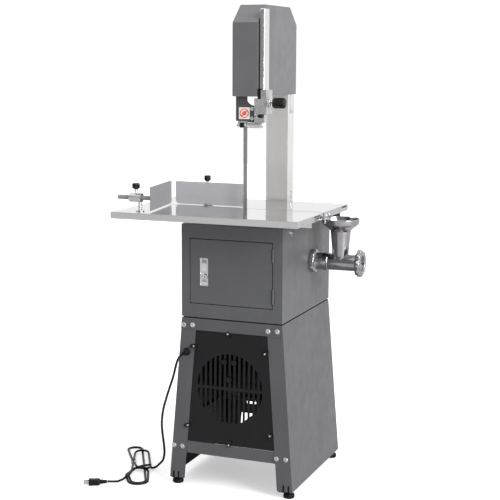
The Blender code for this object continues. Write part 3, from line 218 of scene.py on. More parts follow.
def cast_metal(name, colour, roughness=0.20, grain=0.00010):
    """Buffed casting: bright, with soft pits and a wandering gloss."""
    made = Material(name, colour, roughness, 1.0)
    made.tint(made.noise(28.0, 4), 0.84, 1.06)
    made.rough(made.noise(60.0, 5), roughness - 0.07, roughness + 0.12)
    made.bump(made.noise(45.0, 3), grain * 4, 0.5)
    made.bump(made.noise(520.0, 3), grain, 0.6)
    return made.made


def plastic(name, colour, roughness=0.35, grain=0.00006, shine=0.5):
    made = Material(name, colour, roughness)
    made.shader.inputs["Specular IOR Level"].default_value = shine
    made.tint(made.noise(40.0, 3), 0.85, 1.15)
    made.rough(made.noise(90.0, 4), roughness - 0.06, roughness + 0.10)
    made.bump(made.noise(1100.0, 2), grain)
    return made.made


MATERIALS = {
    "stand": paint("stand_powder_coat", (0.084, 0.083, 0.090)),
    "cabinet": paint("cabinet_powder_coat", (0.092, 0.093, 0.098)),
    "housing": paint("housing_powder_coat", (0.128, 0.129, 0.138)),
    "vent": paint("black_satin_paint_and_inside_shade", (0.0060, 0.0054, 0.0068), 0.52, 0.30),
    "guard": paint("guard_powder_coat", (0.060, 0.061, 0.066), 0.45),
    "motor": paint("motor_enamel", (0.020, 0.020, 0.022), 0.40),
    "mirror": mirror_steel("mirror_stainless", (0.72, 0.715, 0.725), 0.10, 0.00003),
    "column": brushed_steel("stainless_brushed_upright", (0.66, 0.65, 0.635), (1, 1, 0.02), 0.42, 0.035, 0.55),
    "fence": brushed_steel("stainless_brushed_along", (0.56, 0.555, 0.58), (0.012, 1, 1), 0.40, 0.05, 0.50),
    "pusher": brushed_steel("stainless_brushed_across", (0.28, 0.28, 0.295), (1, 0.012, 1), 0.40, 0.05, 0.45),
    "bright": mirror_steel("bright_bar_steel", (0.78, 0.78, 0.78), 0.16, 0.00004),
    "cast": cast_metal("buffed_aluminium", (0.66, 0.66, 0.67), 0.30),
    "grinder": cast_metal("polished_casting", (0.44, 0.43, 0.45), 0.15, 0.00006),
    "zinc": cast_metal("zinc_plate", (0.70, 0.70, 0.70), 0.26, 0.00005),
    "blade": brushed_steel("ground_blade_steel", (0.44, 0.44, 0.45), (1, 1, 0.02), 0.34, 0.10),
    "plastic": plastic("black_plastic", (0.0045, 0.0045, 0.0050), 0.30, 0.00006, 0.28),
    "rubber": plastic("black_rubber", (0.0045, 0.0045, 0.0048), 0.55, 0.00010, 0.22),
    "cord": plastic("cord_sheath", (0.0040, 0.0040, 0.0045), 0.34, 0.00005, 0.26),
    "label": plastic("label_white", (0.80, 0.79, 0.78), 0.40, 0.00002),
    "sign": plastic("label_orange", (0.80, 0.13, 0.05), 0.40, 0.00002),
    "slot_shade": plastic("painted_recess_shade", (0.006, 0.006, 0.006), 0.70),
    "tooth": cast_metal("bare_tooth_steel", (0.72, 0.72, 0.73), 0.22, 0.00003),
}


# ---- mesh helpers --------------------------------------------------------------------------------
AXES = {
    "X": Matrix.Rotation(math.radians(90), 4, "Y"),
    "-X": Matrix.Rotation(math.radians(-90), 4, "Y"),
    "-Y": Matrix.Rotation(math.radians(90), 4, "X"),
    "Y": Matrix.Rotation(math.radians(-90), 4, "X"),
    "Z": Matrix.Identity(4),
}


def facing(place, axis):
    """Matrix that puts a shape made round +Z at a place of the machine frame, along an axis."""
    return Matrix.Translation(at(*place)) @ AXES[axis]


def add_turned(bm, matrix, profile, sides=32, wave=None):
    """Spin (height, radius) points round Z. wave(angle, radius) may change the radius."""
    rings = []
    for height, radius in profile:
        if radius == 0:
            rings.append([bm.verts.new(matrix @ Vector((0, 0, height)))])
            continue
        ring = []
        for index in range(sides):
            angle = 2 * math.pi * index / sides
            reach = wave(angle, radius) if wave else radius
            point = Vector((reach * math.cos(angle), reach * math.sin(angle), height))
            ring.append(bm.verts.new(matrix @ point))
        rings.append(ring)
    pairs = list(zip(rings, rings[1:]))
    if profile[0][1] and profile[-1][1]:
        pairs.append((rings[-1], rings[0]))
    for one, two in pairs:
        for index in range(sides):
            after = (index + 1) % sides
            corners = [one[index % len(one)], one[after % len(one)], two[after % len(two)], two[index % len(two)]]
            bm.faces.new(list(dict.fromkeys(corners)))


def add_box(bm, matrix, low, high, bevel=0.0):
    """A box between two corners, with its edges chamfered twice when bevel is given."""
    made = bmesh.ops.create_cube(bm, size=1.0)["verts"]
    for vert in made:
        place = Vector([low[axis] if vert.co[axis] < 0 else high[axis] for axis in range(3)])
        vert.co = matrix @ place
    if bevel:
        edges = list({edge for vert in made for edge in vert.link_edges})
        bmesh.ops.bevel(bm, geom=edges, offset=bevel, segments=2, profile=0.6, affect="EDGES")


def add_prism(bm, matrix, outline, low, high):
    """An outline in the XY plane, extruded from low to high along Z."""
    bottom = [bm.verts.new(matrix @ Vector((x, y, low))) for x, y in outline]
    top = [bm.verts.new(matrix @ Vector((x, y, high))) for x, y in outline]
    for index in range(len(outline)):
        after = (index + 1) % len(outline)
        bm.faces.new((bottom[index], bottom[after], top[after], top[index]))
    bm.faces.new(bottom)
    bm.faces.new(top)


def piece(name, bm, material, body, smooth=40.0, bevel=0.0):
    """Turn a bmesh into a piece that rides on a CAD body."""
    bmesh.ops.recalc_face_normals(bm, faces=bm.faces)
    mesh = bpy.data.meshes.new(name)
    bm.to_mesh(mesh)
    bm.free()
    made = bpy.data.objects.new(name, mesh)
    bpy.context.scene.collection.objects.link(made)
    mesh.materials.append(MATERIALS[material])
    mesh.shade_smooth()
    mesh.set_sharp_from_angle(angle=math.radians(smooth))
    if bevel:
        add_bevel(made, bevel)
        flatten_faces(made)
    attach(made, body)
    return made


def add_bevel(made, width, segments=2, angle=38.0):
    rounded = made.modifiers.new("edges", "BEVEL")
    rounded.width = width
    rounded.segments = segments
    rounded.limit_method = "ANGLE"
    rounded.angle_limit = math.radians(angle)
    return rounded


def flatten_faces(made):
    """Keep large faces flat beside their rounded edges."""
    flat = made.modifiers.new("flat_faces", "WEIGHTED_NORMAL")
    flat.weight = 100
    flat.keep_sharp = True


def dress(names, material, bevel=0.0, smooth=35.0):
    """Give CAD nodes a material, welded and rounded edges, and smooth round faces."""
    for name in names:
        node = NODES[name]
        node.data.materials.clear()
        node.data.materials.append(MATERIALS[material])
        if "custom_normal" in node.data.attributes:
            node.data.attributes.remove(node.data.attributes["custom_normal"])
        for polygon in node.data.polygons:
            polygon.use_smooth = True
        weld = node.modifiers.new("weld", "WELD")
        weld.merge_threshold = 0.00002
        if bevel:
            add_bevel(node, bevel)
        split = node.modifiers.new("sharp", "EDGE_SPLIT")
        split.split_angle = math.radians(smooth)
        if bevel:
            flatten_faces(node)


# ---- camera, light and floor -----------------------------------------------------------------------
def make_camera():
    camera = bpy.data.objects.new("camera", bpy.data.cameras.new("camera"))
    bpy.context.scene.collection.objects.link(camera)
    camera.location = at(*CAMERA_PLACE)
    turn = Matrix.Rotation(math.radians(CAMERA_YAW), 4, "Z")
    tilt = Matrix.Rotation(math.radians(90 + CAMERA_PITCH), 4, "X")
    roll = Matrix.Rotation(math.radians(CAMERA_ROLL), 4, "Z")
    camera.rotation_euler = (turn @ tilt @ roll).to_euler()
    camera.data.sensor_width = 36.0
    camera.data.lens = CAMERA_LENS
    camera.data.shift_x, camera.data.shift_y = CAMERA_SHIFT
    bpy.context.scene.camera = camera


def area_light(name, place, target, size, power, colour=(1, 1, 1)):
    data = bpy.data.lights.new(name, "AREA")
    data.shape = "RECTANGLE"
    data.size, data.size_y = size
    data.energy = power
    data.color = colour
    light = bpy.data.objects.new(name, data)
    bpy.context.scene.collection.objects.link(light)
    light.location = place
    light.visible_camera = False
    light.rotation_euler = (Vector(target) - Vector(place)).to_track_quat("-Z", "Y").to_euler()


def sun_light(name, direction, strength, spread):
    data = bpy.data.lights.new(name, "SUN")
    data.energy = strength
    data.angle = math.radians(spread)
    light = bpy.data.objects.new(name, data)
    bpy.context.scene.collection.objects.link(light)
    light.rotation_euler = Vector(direction).to_track_quat("-Z", "Y").to_euler()


def make_world():
    """White room behind and above, darker in front; what the camera sees directly is plain white."""
    world = bpy.data.worlds.new("studio")
    world.use_nodes = True
    bpy.context.scene.world = world
    tree = world.node_tree
    place = tree.nodes.new("ShaderNodeTexCoord")
    split = tree.nodes.new("ShaderNodeSeparateXYZ")
    tree.links.new(place.outputs["Generated"], split.inputs["Vector"])
    parts = []
    for output, low, high in (("Y", ROOM_TURN[0], ROOM_TURN[1]), ("Z", ROOM_TOP[0], ROOM_TOP[1])):
        ramp = tree.nodes.new("ShaderNodeMapRange")
        ramp.interpolation_type = "SMOOTHSTEP"
        ramp.inputs["From Min"].default_value = low
        ramp.inputs["From Max"].default_value = high
        ramp.inputs["To Min"].default_value = ROOM_DARK
        ramp.inputs["To Max"].default_value = ROOM_WHITE
        tree.links.new(split.outputs[output], ramp.inputs["Value"])
        parts.append(ramp.outputs["Result"])
    most = tree.nodes.new("ShaderNodeMath")
    most.operation = "MAXIMUM"
    for index, part in enumerate(parts):
        tree.links.new(part, most.inputs[index])
    path = tree.nodes.new("ShaderNodeLightPath")
    mix = tree.nodes.new("ShaderNodeMix")
    tree.links.new(path.outputs["Is Camera Ray"], mix.inputs["Factor"])
    tree.links.new(most.outputs["Value"], mix.inputs["A"])
    mix.inputs["B"].default_value = 1.05
    background = tree.nodes["Background"]
    background.inputs["Color"].default_value = (1.0, 1.0, 1.0, 1.0)
    tree.links.new(mix.outputs["Result"], background.inputs["Strength"])


def make_light():
    """Room light, a large soft key from the right, and narrow boxes that draw lines on the metal."""
    bpy.context.scene.view_settings.view_transform = "Standard"
    make_world()
    sun_light("key", (-0.86, 0.32, -0.46), KEY_STRENGTH, 34)
    area_light("top", (-0.2, -0.4, 3.8), (0, 0, 0.8), (2.0, 2.0), TOP_POWER)
    area_light("side_box", (2.9, -1.5, 1.5), (0, 0, 1.0), (0.5, 2.2), BOX_POWER)
    area_light("left_box", (-2.6, -2.6, 1.5), (0, 0, 1.0), (0.35, 2.0), BOX_POWER * 0.4)


def floor_material():
    """Pale floor: it fills its own shadows for the eye, and throws back less light than it shows."""
    pale = Material("floor_white", (0.80, 0.80, 0.80), 0.65)
    path = pale.node("ShaderNodeLightPath")
    seen = path.outputs["Is Camera Ray"]
    glow = pale.spread(seen, 0.0, FLOOR_GLOW, 0.0, 1.0)
    pale.link(glow, pale.shader.inputs["Emission Strength"])
    pale.shader.inputs["Emission Color"].default_value = (1.0, 0.99, 1.0, 1.0)
    pale.tint(pale.noise(1.5, 2), 0.985, 1.0)
    mix = pale.node("ShaderNodeMix", data_type="RGBA")
    pale.link(seen, mix.inputs["Factor"])
    mix.inputs["A"].default_value = (FLOOR_BOUNCE, FLOOR_BOUNCE, FLOOR_BOUNCE, 1.0)
    pale.link(pale.shader.inputs["Base Color"].links[0].from_socket, mix.inputs["B"])
    pale.link(mix.outputs["Result"], pale.shader.inputs["Base Color"])
    return pale.made


def make_floor():
    """A wide, flat pale floor."""
    bm = bmesh.new()
    bmesh.ops.create_grid(bm, x_segments=8, y_segments=8, size=FLOOR_HALF)
    mesh = bpy.data.meshes.new("floor")
    bm.to_mesh(mesh)
    bm.free()
    floor = bpy.data.objects.new("floor", mesh)
    bpy.context.scene.collection.objects.link(floor)
    mesh.shade_smooth()
    mesh.materials.append(floor_material())


# ---- cord and plug ---------------------------------------------------------------------------------
def smooth_route(points, steps=8):
    """Dense points on the Catmull-Rom curve through the given points."""
    knots = [Vector(point) for point in points]
    knots = [2 * knots[0] - knots[1]] + knots + [2 * knots[-1] - knots[-2]]
    dense = []
    for p0, p1, p2, p3 in zip(knots, knots[1:], knots[2:], knots[3:]):
        for step in range(steps):
            t = step / steps
            dense.append(0.5 * (2 * p1 + (p2 - p0) * t + (2 * p0 - 5 * p1 + 4 * p2 - p3) * t ** 2
                                + (3 * p1 - p0 - 3 * p2 + p3) * t ** 3))
    return dense + [knots[-2]]


def tangent_angle(one, two):
    """Heading of the straight that leaves bend one and meets bend two."""
    across = Vector((two[0] - one[0], two[1] - one[1]))
    lean = (two[3] * two[2] - one[3] * one[2]) / across.length
    return math.atan2(across.y, across.x) - math.asin(max(-1.0, min(1.0, lean)))


def floor_turns(bends, start, end, step=0.006):
    """Points of the bends between two places on the floor, with straights that touch them."""
    stops = [(start.x, start.y, 0.0, 1)] + bends + [(end.x, end.y, 0.0, 1)]
    headings = [tangent_angle(one, two) for one, two in zip(stops, stops[1:])]
    points = [Vector((start.x, start.y, 0.0))]
    for (x, y, radius, side), first, last in zip(bends, headings, headings[1:]):
        sweep = (last - first) * side % (2 * math.pi)
        count = max(3, math.ceil(radius * sweep / step))
        for index in range(count + 1):
            angle = first + side * sweep * index / count
            place = Vector((x + side * radius * math.sin(angle), y - side * radius * math.cos(angle), 0.0))
            gap = place - points[-1]
            extra = int(gap.length / step) if index == 0 else 0
            points += [points[-1].lerp(place, part / (extra + 1)) for part in range(1, extra + 1)]
            points.append(place)
    gap = end - points[-1]
    extra = int(gap.xy.length / step)
    last = points[-1].copy()
    points += [last.lerp(Vector((end.x, end.y, 0.0)), part / (extra + 1)) for part in range(1, extra + 1)]
    return points


def settle(points, landing):
    """Heights of a cord laid on the floor: each part lies on whatever was laid down before it."""
    floor = CORD_DIAMETER / 2 + 0.0005
    far = [0.0]
    for one, two in zip(points, points[1:]):
        far.append(far[-1] + (two.xy - one.xy).length)
    heights = [floor + landing * max(0.0, 1 - place / CORD_LANDING) ** 2 for place in far]
    for index, point in enumerate(points):
        under = [heights[other] for other in range(index) if far[index] - far[other] > 0.045
                 and (points[other].xy - point.xy).length < CORD_DIAMETER * 0.85]
        if under:
            heights[index] = max(heights[index], max(under) + CORD_DIAMETER * 0.92)
    slope, window = 0.13, 0.026
    raised = [max(height - slope * abs(far[index] - place) for height, place in zip(heights, far))
              for index in range(len(points))]
    smooth = []
    for index, place in enumerate(far):
        near = [raised[other] for other, spot in enumerate(far) if abs(spot - place) < window]
        smooth.append(max(floor, sum(near) / len(near)))
    steep = [index for index, place in enumerate(far) if place < CORD_LANDING]
    return [Vector((point.x, point.y, heights[index] if index in steep else smooth[index]))
            for index, point in enumerate(points)]


def make_cord():
    drop = [Vector(point) for point in CORD_DROP]
    tail = [Vector(point) for point in CORD_TAIL]
    turns = settle(floor_turns(CORD_TURNS, drop[-1], tail[0]) + tail, drop[-1].z - CORD_DIAMETER / 2 - 0.0005)
    for laid, given in zip(turns[-len(tail):], tail):
        laid.z = max(laid.z, given.z)
    route = smooth_route(drop)[:-1] + turns
    curve = bpy.data.curves.new("mains_cord", "CURVE")
    curve.dimensions = "3D"
    curve.bevel_depth = CORD_DIAMETER / 2
    curve.bevel_resolution = 4
    curve.use_fill_caps = True
    spline = curve.splines.new("POLY")
    spline.points.add(len(route) - 1)
    for point, place in zip(spline.points, route):
        point.co = (*(place + SHIFT), 1.0)
    spline.use_smooth = True
    cord = bpy.data.objects.new("mains_cord", curve)
    bpy.context.scene.collection.objects.link(cord)
    curve.materials.append(MATERIALS["cord"])
    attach(cord, "machine")
    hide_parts("cord_drop", "cord_bundle", "cord_tail")
    plug = make_plug()
    gland = make_gland()
    tie = make_tie()
    length = sum((two - one).length for one, two in zip(route, route[1:]))
    print(f"cord route {length:.3f} m")


def make_gland():
    """Strain relief on the leg: a hex nut, a domed cap with a slit skirt, and its soft nose."""
    gland = bmesh.new()
    front = stand_front(CORD_DROP[0][2])
    seat = facing((CORD_DROP[0][0], front - 0.0003, CORD_DROP[0][2]), "-Y")
    nose = front - CORD_DROP[0][1] - 0.0003
    hexagon = [(0.0138 * math.cos(math.radians(a)), 0.0138 * math.sin(math.radians(a))) for a in range(0, 360, 60)]
    add_prism(gland, seat, hexagon, 0.0, 0.0045)
    add_turned(gland, seat, [(0.004, 0), (0.004, 0.0122), (0.0075, 0.0122), (0.0095, 0.0112), (0.0115, 0.0102),
                             (0.0130, 0.0112), (0.0150, 0.0108), (0.0185, 0.0090), (0.0210, 0.0068),
                             (nose - 0.001, 0.0058), (nose - 0.001, 0)],
               36, lambda angle, radius: radius - 0.0007 * (0.5 - 0.5 * math.cos(12 * angle)))
    made = piece("cord_strain_relief", gland, "plastic", "machine", 50, 0.0004)
    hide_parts("cord_gland")
    return made


def make_tie():
    """Soft wire tie round the two returning runs where they cross."""
    tie = bmesh.new()
    along = Vector((-math.sin(TIE_TURN), math.cos(TIE_TURN), 0.0))
    across = Vector((math.cos(TIE_TURN), math.sin(TIE_TURN), 0.0))
    centre = at(*TIE_PLACE)
    sides, rings = 8, 28
    grid = []
    for ring in range(rings):
        angle = 2 * math.pi * ring / rings
        middle = centre + across * TIE_REACH[0] * math.cos(angle) + Vector((0, 0, TIE_REACH[1] * math.sin(angle)))
        out = (across * math.cos(angle) + Vector((0, 0, math.sin(angle)))).normalized()
        row = []
        for side in range(sides):
            turn = 2 * math.pi * side / sides
            row.append(tie.verts.new(middle + out * 0.0009 * math.cos(turn) + along * 0.0032 * math.sin(turn)))
        grid.append(row)
    for ring in range(rings):
        for side in range(sides):
            one, two = grid[ring], grid[(ring + 1) % rings]
            after = (side + 1) % sides
            tie.faces.new((one[side], one[after], two[after], two[side]))
    return piece("cord_tie", tie, "rubber", "machine", 60)


def make_plug():
    """Moulded three-pin plug: ribbed strain relief, waisted grip, flat pins and a round earth pin."""
    along = PLUG_DIRECTION.normalized()
    up = Vector((0, 0, 1))
    across = up.cross(along)
    place = Matrix.Translation(at(*PLUG_REAR)) @ Matrix((across, up, along)).transposed().to_4x4()
    plug = bmesh.new()
    relief = [(0.0, 0), (0.0, 0.0060)]
    for rib in range(5):
        start = 0.0015 + 0.0042 * rib
        grow = 0.0005 * rib
        relief += [(start, 0.0062 + grow), (start + 0.0022, 0.0062 + grow), (start + 0.0024, 0.0052 + grow),
                   (start + 0.0040, 0.0052 + grow)]
    relief += [(0.026, 0.0085), (0.026, 0)]
    add_turned(plug, place, relief, 24)
    levels = [(0.0235, 0.0085, 0.0078), (0.0265, 0.0118, 0.0102), (0.032, 0.0132, 0.0112), (0.042, 0.0122, 0.0105),
              (0.052, 0.0128, 0.0112), (0.060, 0.0130, 0.0114), (0.0625, 0.0118, 0.0104)]
    rings = []
    for level, width, height in levels:
        ring = []
        for index in range(32):
            angle = 2 * math.pi * index / 32
            x = math.copysign(abs(math.cos(angle)) ** 0.5, math.cos(angle)) * width
            y = math.copysign(abs(math.sin(angle)) ** 0.5, math.sin(angle)) * height
            ring.append(plug.verts.new(place @ Vector((x, y, level))))
        rings.append(ring)
    for one, two in zip(rings, rings[1:]):
        for index in range(32):
            after = (index + 1) % 32
            plug.faces.new((one[index], one[after], two[after], two[index]))
    plug.faces.new(rings[0])
    plug.faces.new(rings[-1])
    body = piece("plug_body", plug, "cord", "machine", 42)
    pins = bmesh.new()
    for side in (-1, 1):
        edges = sorted((side * 0.0056, side * 0.0071))
        add_box(pins, place, (edges[0], -0.0012, 0.060), (edges[1], 0.0052, 0.0795), 0.0004)
    add_turned(pins, place @ Matrix.Translation((0, -0.0058, 0)),
               [(0.060, 0), (0.060, 0.0023), (0.0795, 0.0023), (0.0815, 0.0012), (0.0815, 0)], 16)
    metal = piece("plug_pins", pins, "zinc", "machine")
    metal.parent = body
    metal.matrix_parent_inverse = body.matrix_world.inverted()
    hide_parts("plug")
    return body


# ---- fasteners -------------------------------------------------------------------------------------
def add_pan_head(bm, matrix, radius=0.0066, height=0.0034, washer=0.0):
    """A domed head with a cross recess, on a flat washer when one is asked for."""
    base = 0.0
    if washer:
        add_turned(bm, matrix, [(0, 0), (0, washer), (0.0009, washer), (0.0009, 0)], 24)
        base = 0.0009
    profile = [(base, 0), (base, radius), (base + height * 0.45, radius * 0.97), (base + height * 0.8, radius * 0.80),
               (base + height, radius * 0.45), (base + height, radius * 0.40), (base + height * 0.35, radius * 0.16),
               (base + height * 0.35, 0)]

    def cross(angle, reach):
        if reach > radius * 0.42:
            return reach
        return reach * (0.55 + 0.45 * abs(math.cos(2 * angle)) ** 0.7)
    add_turned(bm, matrix, profile, 32, cross)


def add_hex_head(bm, matrix, across=0.0075, height=0.0050):
    """A hexagon head with a rounded top, on a washer face."""
    corners = across / math.cos(math.radians(30))

    def six(angle, reach):
        if reach <= across * 1.02:
            return reach
        inside = (angle + math.radians(30)) % math.radians(60) - math.radians(30)
        return across / math.cos(inside)
    add_turned(bm, matrix, [(0, 0), (0, across * 1.35), (0.0010, across * 1.35), (0.0010, corners), (height, corners),
                            (height + 0.0008, across * 0.92), (height + 0.0008, 0)], 48, six)


def screws(name, places, axis, body, radius, material="zinc", washer=0.0):
    heads = bmesh.new()
    for index, place in enumerate(places):
        turned = facing(place, axis) @ Matrix.Rotation(0.7 * index, 4, "Z")
        add_pan_head(heads, turned, radius, radius * 0.5, washer)
    return piece(name, heads, material, body, 35)


# ---- stand -----------------------------------------------------------------------------------------
def dress_stand():
    dress(["stand_left_side", "stand_right_side", "stand_rear_panel"], "stand", 0.0006)
    # The inward faces of the two side panels take the black paint: painted shade for the dark inside of the stand.
    for name, inward in (("stand_left_side", 1), ("stand_right_side", -1)):
        mesh = NODES[name].data
        mesh.materials.append(MATERIALS["vent"])
        for polygon in mesh.polygons:
            if polygon.normal.x * inward > 0.5:
                polygon.material_index = 1
    dress(["stand_front_top_rail", "stand_front_bottom_rail"], "stand", 0.0005)
    dress(["stand_vent_panel"], "vent", 0.0003)
    proud = 0.0018
    top = [(-0.172, 0.5615), (-0.140, 0.563), (0.131, 0.564), (0.1635, 0.5655)]
    screws("stand_top_bolts", [(x, stand_front(z) - proud, z) for x, z in top], "-Y", "machine", 0.0072,
           washer=0.0086)
    low = [(-0.2076, 0.1387), (-0.1767, 0.138), (0.166, 0.1354), (0.1987, 0.1358)]
    screws("stand_low_bolts", [(x, stand_front(z), z) for x, z in low], "-Y", "machine", 0.0072, washer=0.0084)
    back = []
    for z in (0.545, 0.30, 0.145):
        for side in (-1, 1):
            half = 0.2235 - 0.0435 * (z - LEG_BOTTOM) / STAND_SLOPE[1]
            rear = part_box("stand_left_side")[1].y - SHIFT.y - STAND_SLOPE[0] * (z - LEG_BOTTOM) / STAND_SLOPE[1]
            back.append((side * (half - 0.028), rear + SHEET + 0.0005, z))
    screws("stand_rear_bolts", back, "Y", "machine", 0.0066, washer=0.0074)
    hexes = bmesh.new()
    for x, z in ((-0.0234, 0.4465), (0.0110, 0.4465), (-0.0063, 0.387)):
        add_hex_head(hexes, facing((x, stand_front(z) + 0.0017, z), "-Y"), 0.0088, 0.0060)
    piece("vent_hex_bolts", hexes, "plastic", "machine", 30, 0.0003)
    make_vent_clips()
    make_leg_shadows()


def make_vent_clips():
    """Six turn clips that hold the vent panel: a black cam on a bright pan-head screw."""
    clips = bmesh.new()
    heads = []
    places = [(-0.0108, 0.5432, 90), (-0.1347, 0.491, 178), (0.1213, 0.4874, -28), (-0.1554, 0.2148, 170),
              (0.143, 0.2118, 62), (-0.0041, 0.1627, -90)]
    for x, z, lean in places:
        seat = facing((x, stand_front(z) - 0.0001, z), "-Y") @ Matrix.Rotation(math.radians(-lean), 4, "Z")
        outline = []
        for index in range(24):
            angle = 2 * math.pi * index / 24
            reach = 0.0078 + 0.0070 * max(0.0, math.cos(angle)) ** 3
            outline.append((reach * math.cos(angle), 0.9 * reach * math.sin(angle)))
        add_prism(clips, seat, outline, 0.0, 0.0055)
        heads.append((x, stand_front(z) - 0.0056, z))
    piece("vent_turn_clips", clips, "plastic", "machine", 40, 0.0012)
    screws("vent_clip_screws", heads, "-Y", "machine", 0.0032)


def make_leg_shadows():
    """Black rubber blocks inside the legs, seen through the slots at the bottom of the front flanges: painted shade for
    the dark inside of the legs.
    """
    shade_blocks = bmesh.new()
    for side in (-1, 1):
        x = side * (0.2235 - 0.0270)
        y = STAND_FRONT_LOW + SHEET + 0.0004
        add_box(shade_blocks, Matrix.Translation(SHIFT), (x - 0.024, y, LEG_BOTTOM - 0.004), (x + 0.022, y + 0.012, 0.052),
                0.0015)
    piece("leg_slot_shade_blocks", shade_blocks, "rubber", "machine")


def make_feet():
    """Levelling feet: a moulded pad with a rolled edge, a lock nut and a threaded stud."""
    for name in ("foot_front_left", "foot_front_right", "foot_rear_left", "foot_rear_right"):
        low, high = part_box(name)
        centre = (low + high) / 2 - SHIFT
        foot = bmesh.new()
        seat = facing((centre.x, centre.y, 0), "Z")
        add_turned(foot, seat, [(0, 0), (0, 0.0160), (0.0008, 0.0176), (0.0030, 0.0190), (0.0105, 0.0188),
                                (0.0135, 0.0176), (0.0150, 0.0150), (0.0162, 0.0110), (0.0230, 0.0100),
                                (0.0240, 0.0080), (0.0240, 0)], 40)
        made = piece(name + "_pad", foot, "rubber", "machine", 50)
        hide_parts(name)
        stud = bmesh.new()
        add_hex_head(stud, facing((centre.x, centre.y, 0.0245), "Z"), 0.0095, 0.0060)
        thread = [(0.0300, 0), (0.0300, 0.0050)]
        for turn in range(14):
            level = 0.0310 + turn * 0.0020
            thread += [(level, 0.0058), (level + 0.0010, 0.0050)]
        thread += [(0.0595, 0.0045), (0.0595, 0)]
        add_turned(stud, seat, thread, 20)
        piece(name + "_stud", stud, "zinc", "machine", 30)


# ---- cabinet ---------------------------------------------------------------------------------------
def dress_cabinet():
    dress(["cabinet_shell"], "cabinet", 0.0018)
    dress(["cabinet_door"], "cabinet", 0.0008)
    dress(["door_hinge_upper", "door_hinge_lower"], "cabinet", 0.0003)
    dress(["door_latch"], "bright", 0.0005)
    make_lock_plate()
    make_hinge_pins()
    make_wing_clip()


def make_lock_plate():
    """Bright lock plate on the door: a rounded rim, a recessed paddle and the lock's round seat."""
    plate = bmesh.new()
    seat = facing((-0.09745, CABINET_FRONT, 0.7471), "-Y")
    half_x, half_z, rim = 0.0146, 0.0474, 0.0032
    outer = rounded_outline(half_x, half_z, 0.0022, 3)
    inner = rounded_outline(half_x - rim, half_z - rim, 0.0016, 3)
    levels = [(outer, 0.0001), (outer, 0.0010), (rounded_outline(half_x - 0.0009, half_z - 0.0009, 0.0018, 3), 0.0016),
              (rounded_outline(half_x - rim + 0.0006, half_z - rim + 0.0006, 0.0016, 3), 0.0016), (inner, 0.0008)]
    rings = [[plate.verts.new(seat @ Vector((x, z, level))) for x, z in outline] for outline, level in levels]
    for one, two in zip(rings, rings[1:]):
        for index in range(len(one)):
            after = (index + 1) % len(one)
            plate.faces.new((one[index], one[after], two[after], two[index]))
    plate.faces.new(rings[0])
    plate.faces.new(rings[-1])
    piece("door_lock_plate", plate, "mirror", "door", 40)
    paddle = bmesh.new()
    add_box(paddle, seat, (-0.0098, 0.0030, 0.0006), (0.0098, 0.0405, 0.0021), 0.0007)
    add_box(paddle, seat, (-0.0098, -0.0410, 0.0006), (0.0098, -0.0300, 0.0018), 0.0007)
    piece("door_lock_paddle", paddle, "bright", "door", 40)
    ring = bmesh.new()
    around = facing((-0.0937, CABINET_FRONT, 0.7301), "-Y")
    add_turned(ring, around, [(0.0006, 0.0094), (0.0006, 0.0118), (0.0022, 0.0116), (0.0026, 0.0106), (0.0022, 0.0094)],
               40)
    piece("door_lock_ring", ring, "zinc", "door", 40)
    # A flat black slot on the latch head: painted shade for the keyway.
    key = bmesh.new()
    add_box(key, facing((-0.0937, CABINET_FRONT - 0.0058, 0.7301), "-Y"), (-0.0010, -0.0045, 0.0), (0.0010, 0.0045, 0.0005))
    piece("door_lock_keyway_shade", key, "slot_shade", "latch")


def rounded_outline(half_x, half_y, radius, steps):
    points = []
    for x, y, start in ((1, 1, 0), (-1, 1, 90), (-1, -1, 180), (1, -1, 270)):
        for step in range(steps + 1):
            angle = math.radians(start + 90 * step / steps)
            points.append((x * (half_x - radius) + radius * math.cos(angle),
                           y * (half_y - radius) + radius * math.sin(angle)))
    return points


def make_hinge_pins():
    """Pin ends and knuckle rings of the two door hinges."""
    pins = bmesh.new()
    for name in ("door_hinge_upper", "door_hinge_lower"):
        low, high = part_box(name)
        x, y = 0.1475, CABINET_FRONT
        for z in (low.z + 0.0005, high.z - 0.0017, low.z + (high.z - low.z) * 0.33, low.z + (high.z - low.z) * 0.66):
            add_turned(pins, facing((x, y, z), "Z"), [(0, 0), (0, 0.0043), (0.0004, 0.0046), (0.0009, 0.0046),
                                                       (0.0013, 0.0043), (0.0013, 0)], 20)
    piece("door_hinge_knuckles", pins, "cabinet", "machine", 40)


def make_wing_clip():
    """Small bright wing nut high on the cabinet's right wall."""
    clip = bmesh.new()
    seat = facing((CABINET_RIGHT, -0.178, 0.886), "X")
    add_turned(clip, seat, [(0, 0), (0, 0.0058), (0.0030, 0.0054), (0.0050, 0.0042), (0.0110, 0.0036), (0.0110, 0)], 20)
    for side in (-1, 1):
        wing = [(side * 0.003, -0.0015), (side * 0.011, -0.0010), (side * 0.0155, 0.0040), (side * 0.0145, 0.0078),
                (side * 0.0110, 0.0066), (side * 0.003, 0.0030)]
        add_prism(clip, seat @ Matrix.Rotation(math.radians(90), 4, "X") @ Matrix.Rotation(math.radians(20), 4, "Y"),
                  wing, -0.0011, 0.0011)
    piece("cabinet_wing_nut", clip, "zinc", "machine", 45)


# ---- table, fence and pusher -----------------------------------------------------------------------
def dress_table():
    dress(["sliding_table", "fixed_table"], "mirror", 0.0007)
    dress(["table_slide_rail"], "bright", 0.0005)
    dress(["fence_guide_bar", "fence_plate"], "fence", 0.0004)
    dress(["pusher_rod_and_plate"], "pusher", 0.0004)
    dress(["pusher_post"], "zinc", 0.0006)
    make_seam_hardware()
    make_knob("fence_knob", (-0.170, -0.047), "fence_screw")
    make_knob("pusher_knob", (-0.3155, -0.305), "pusher_screw")


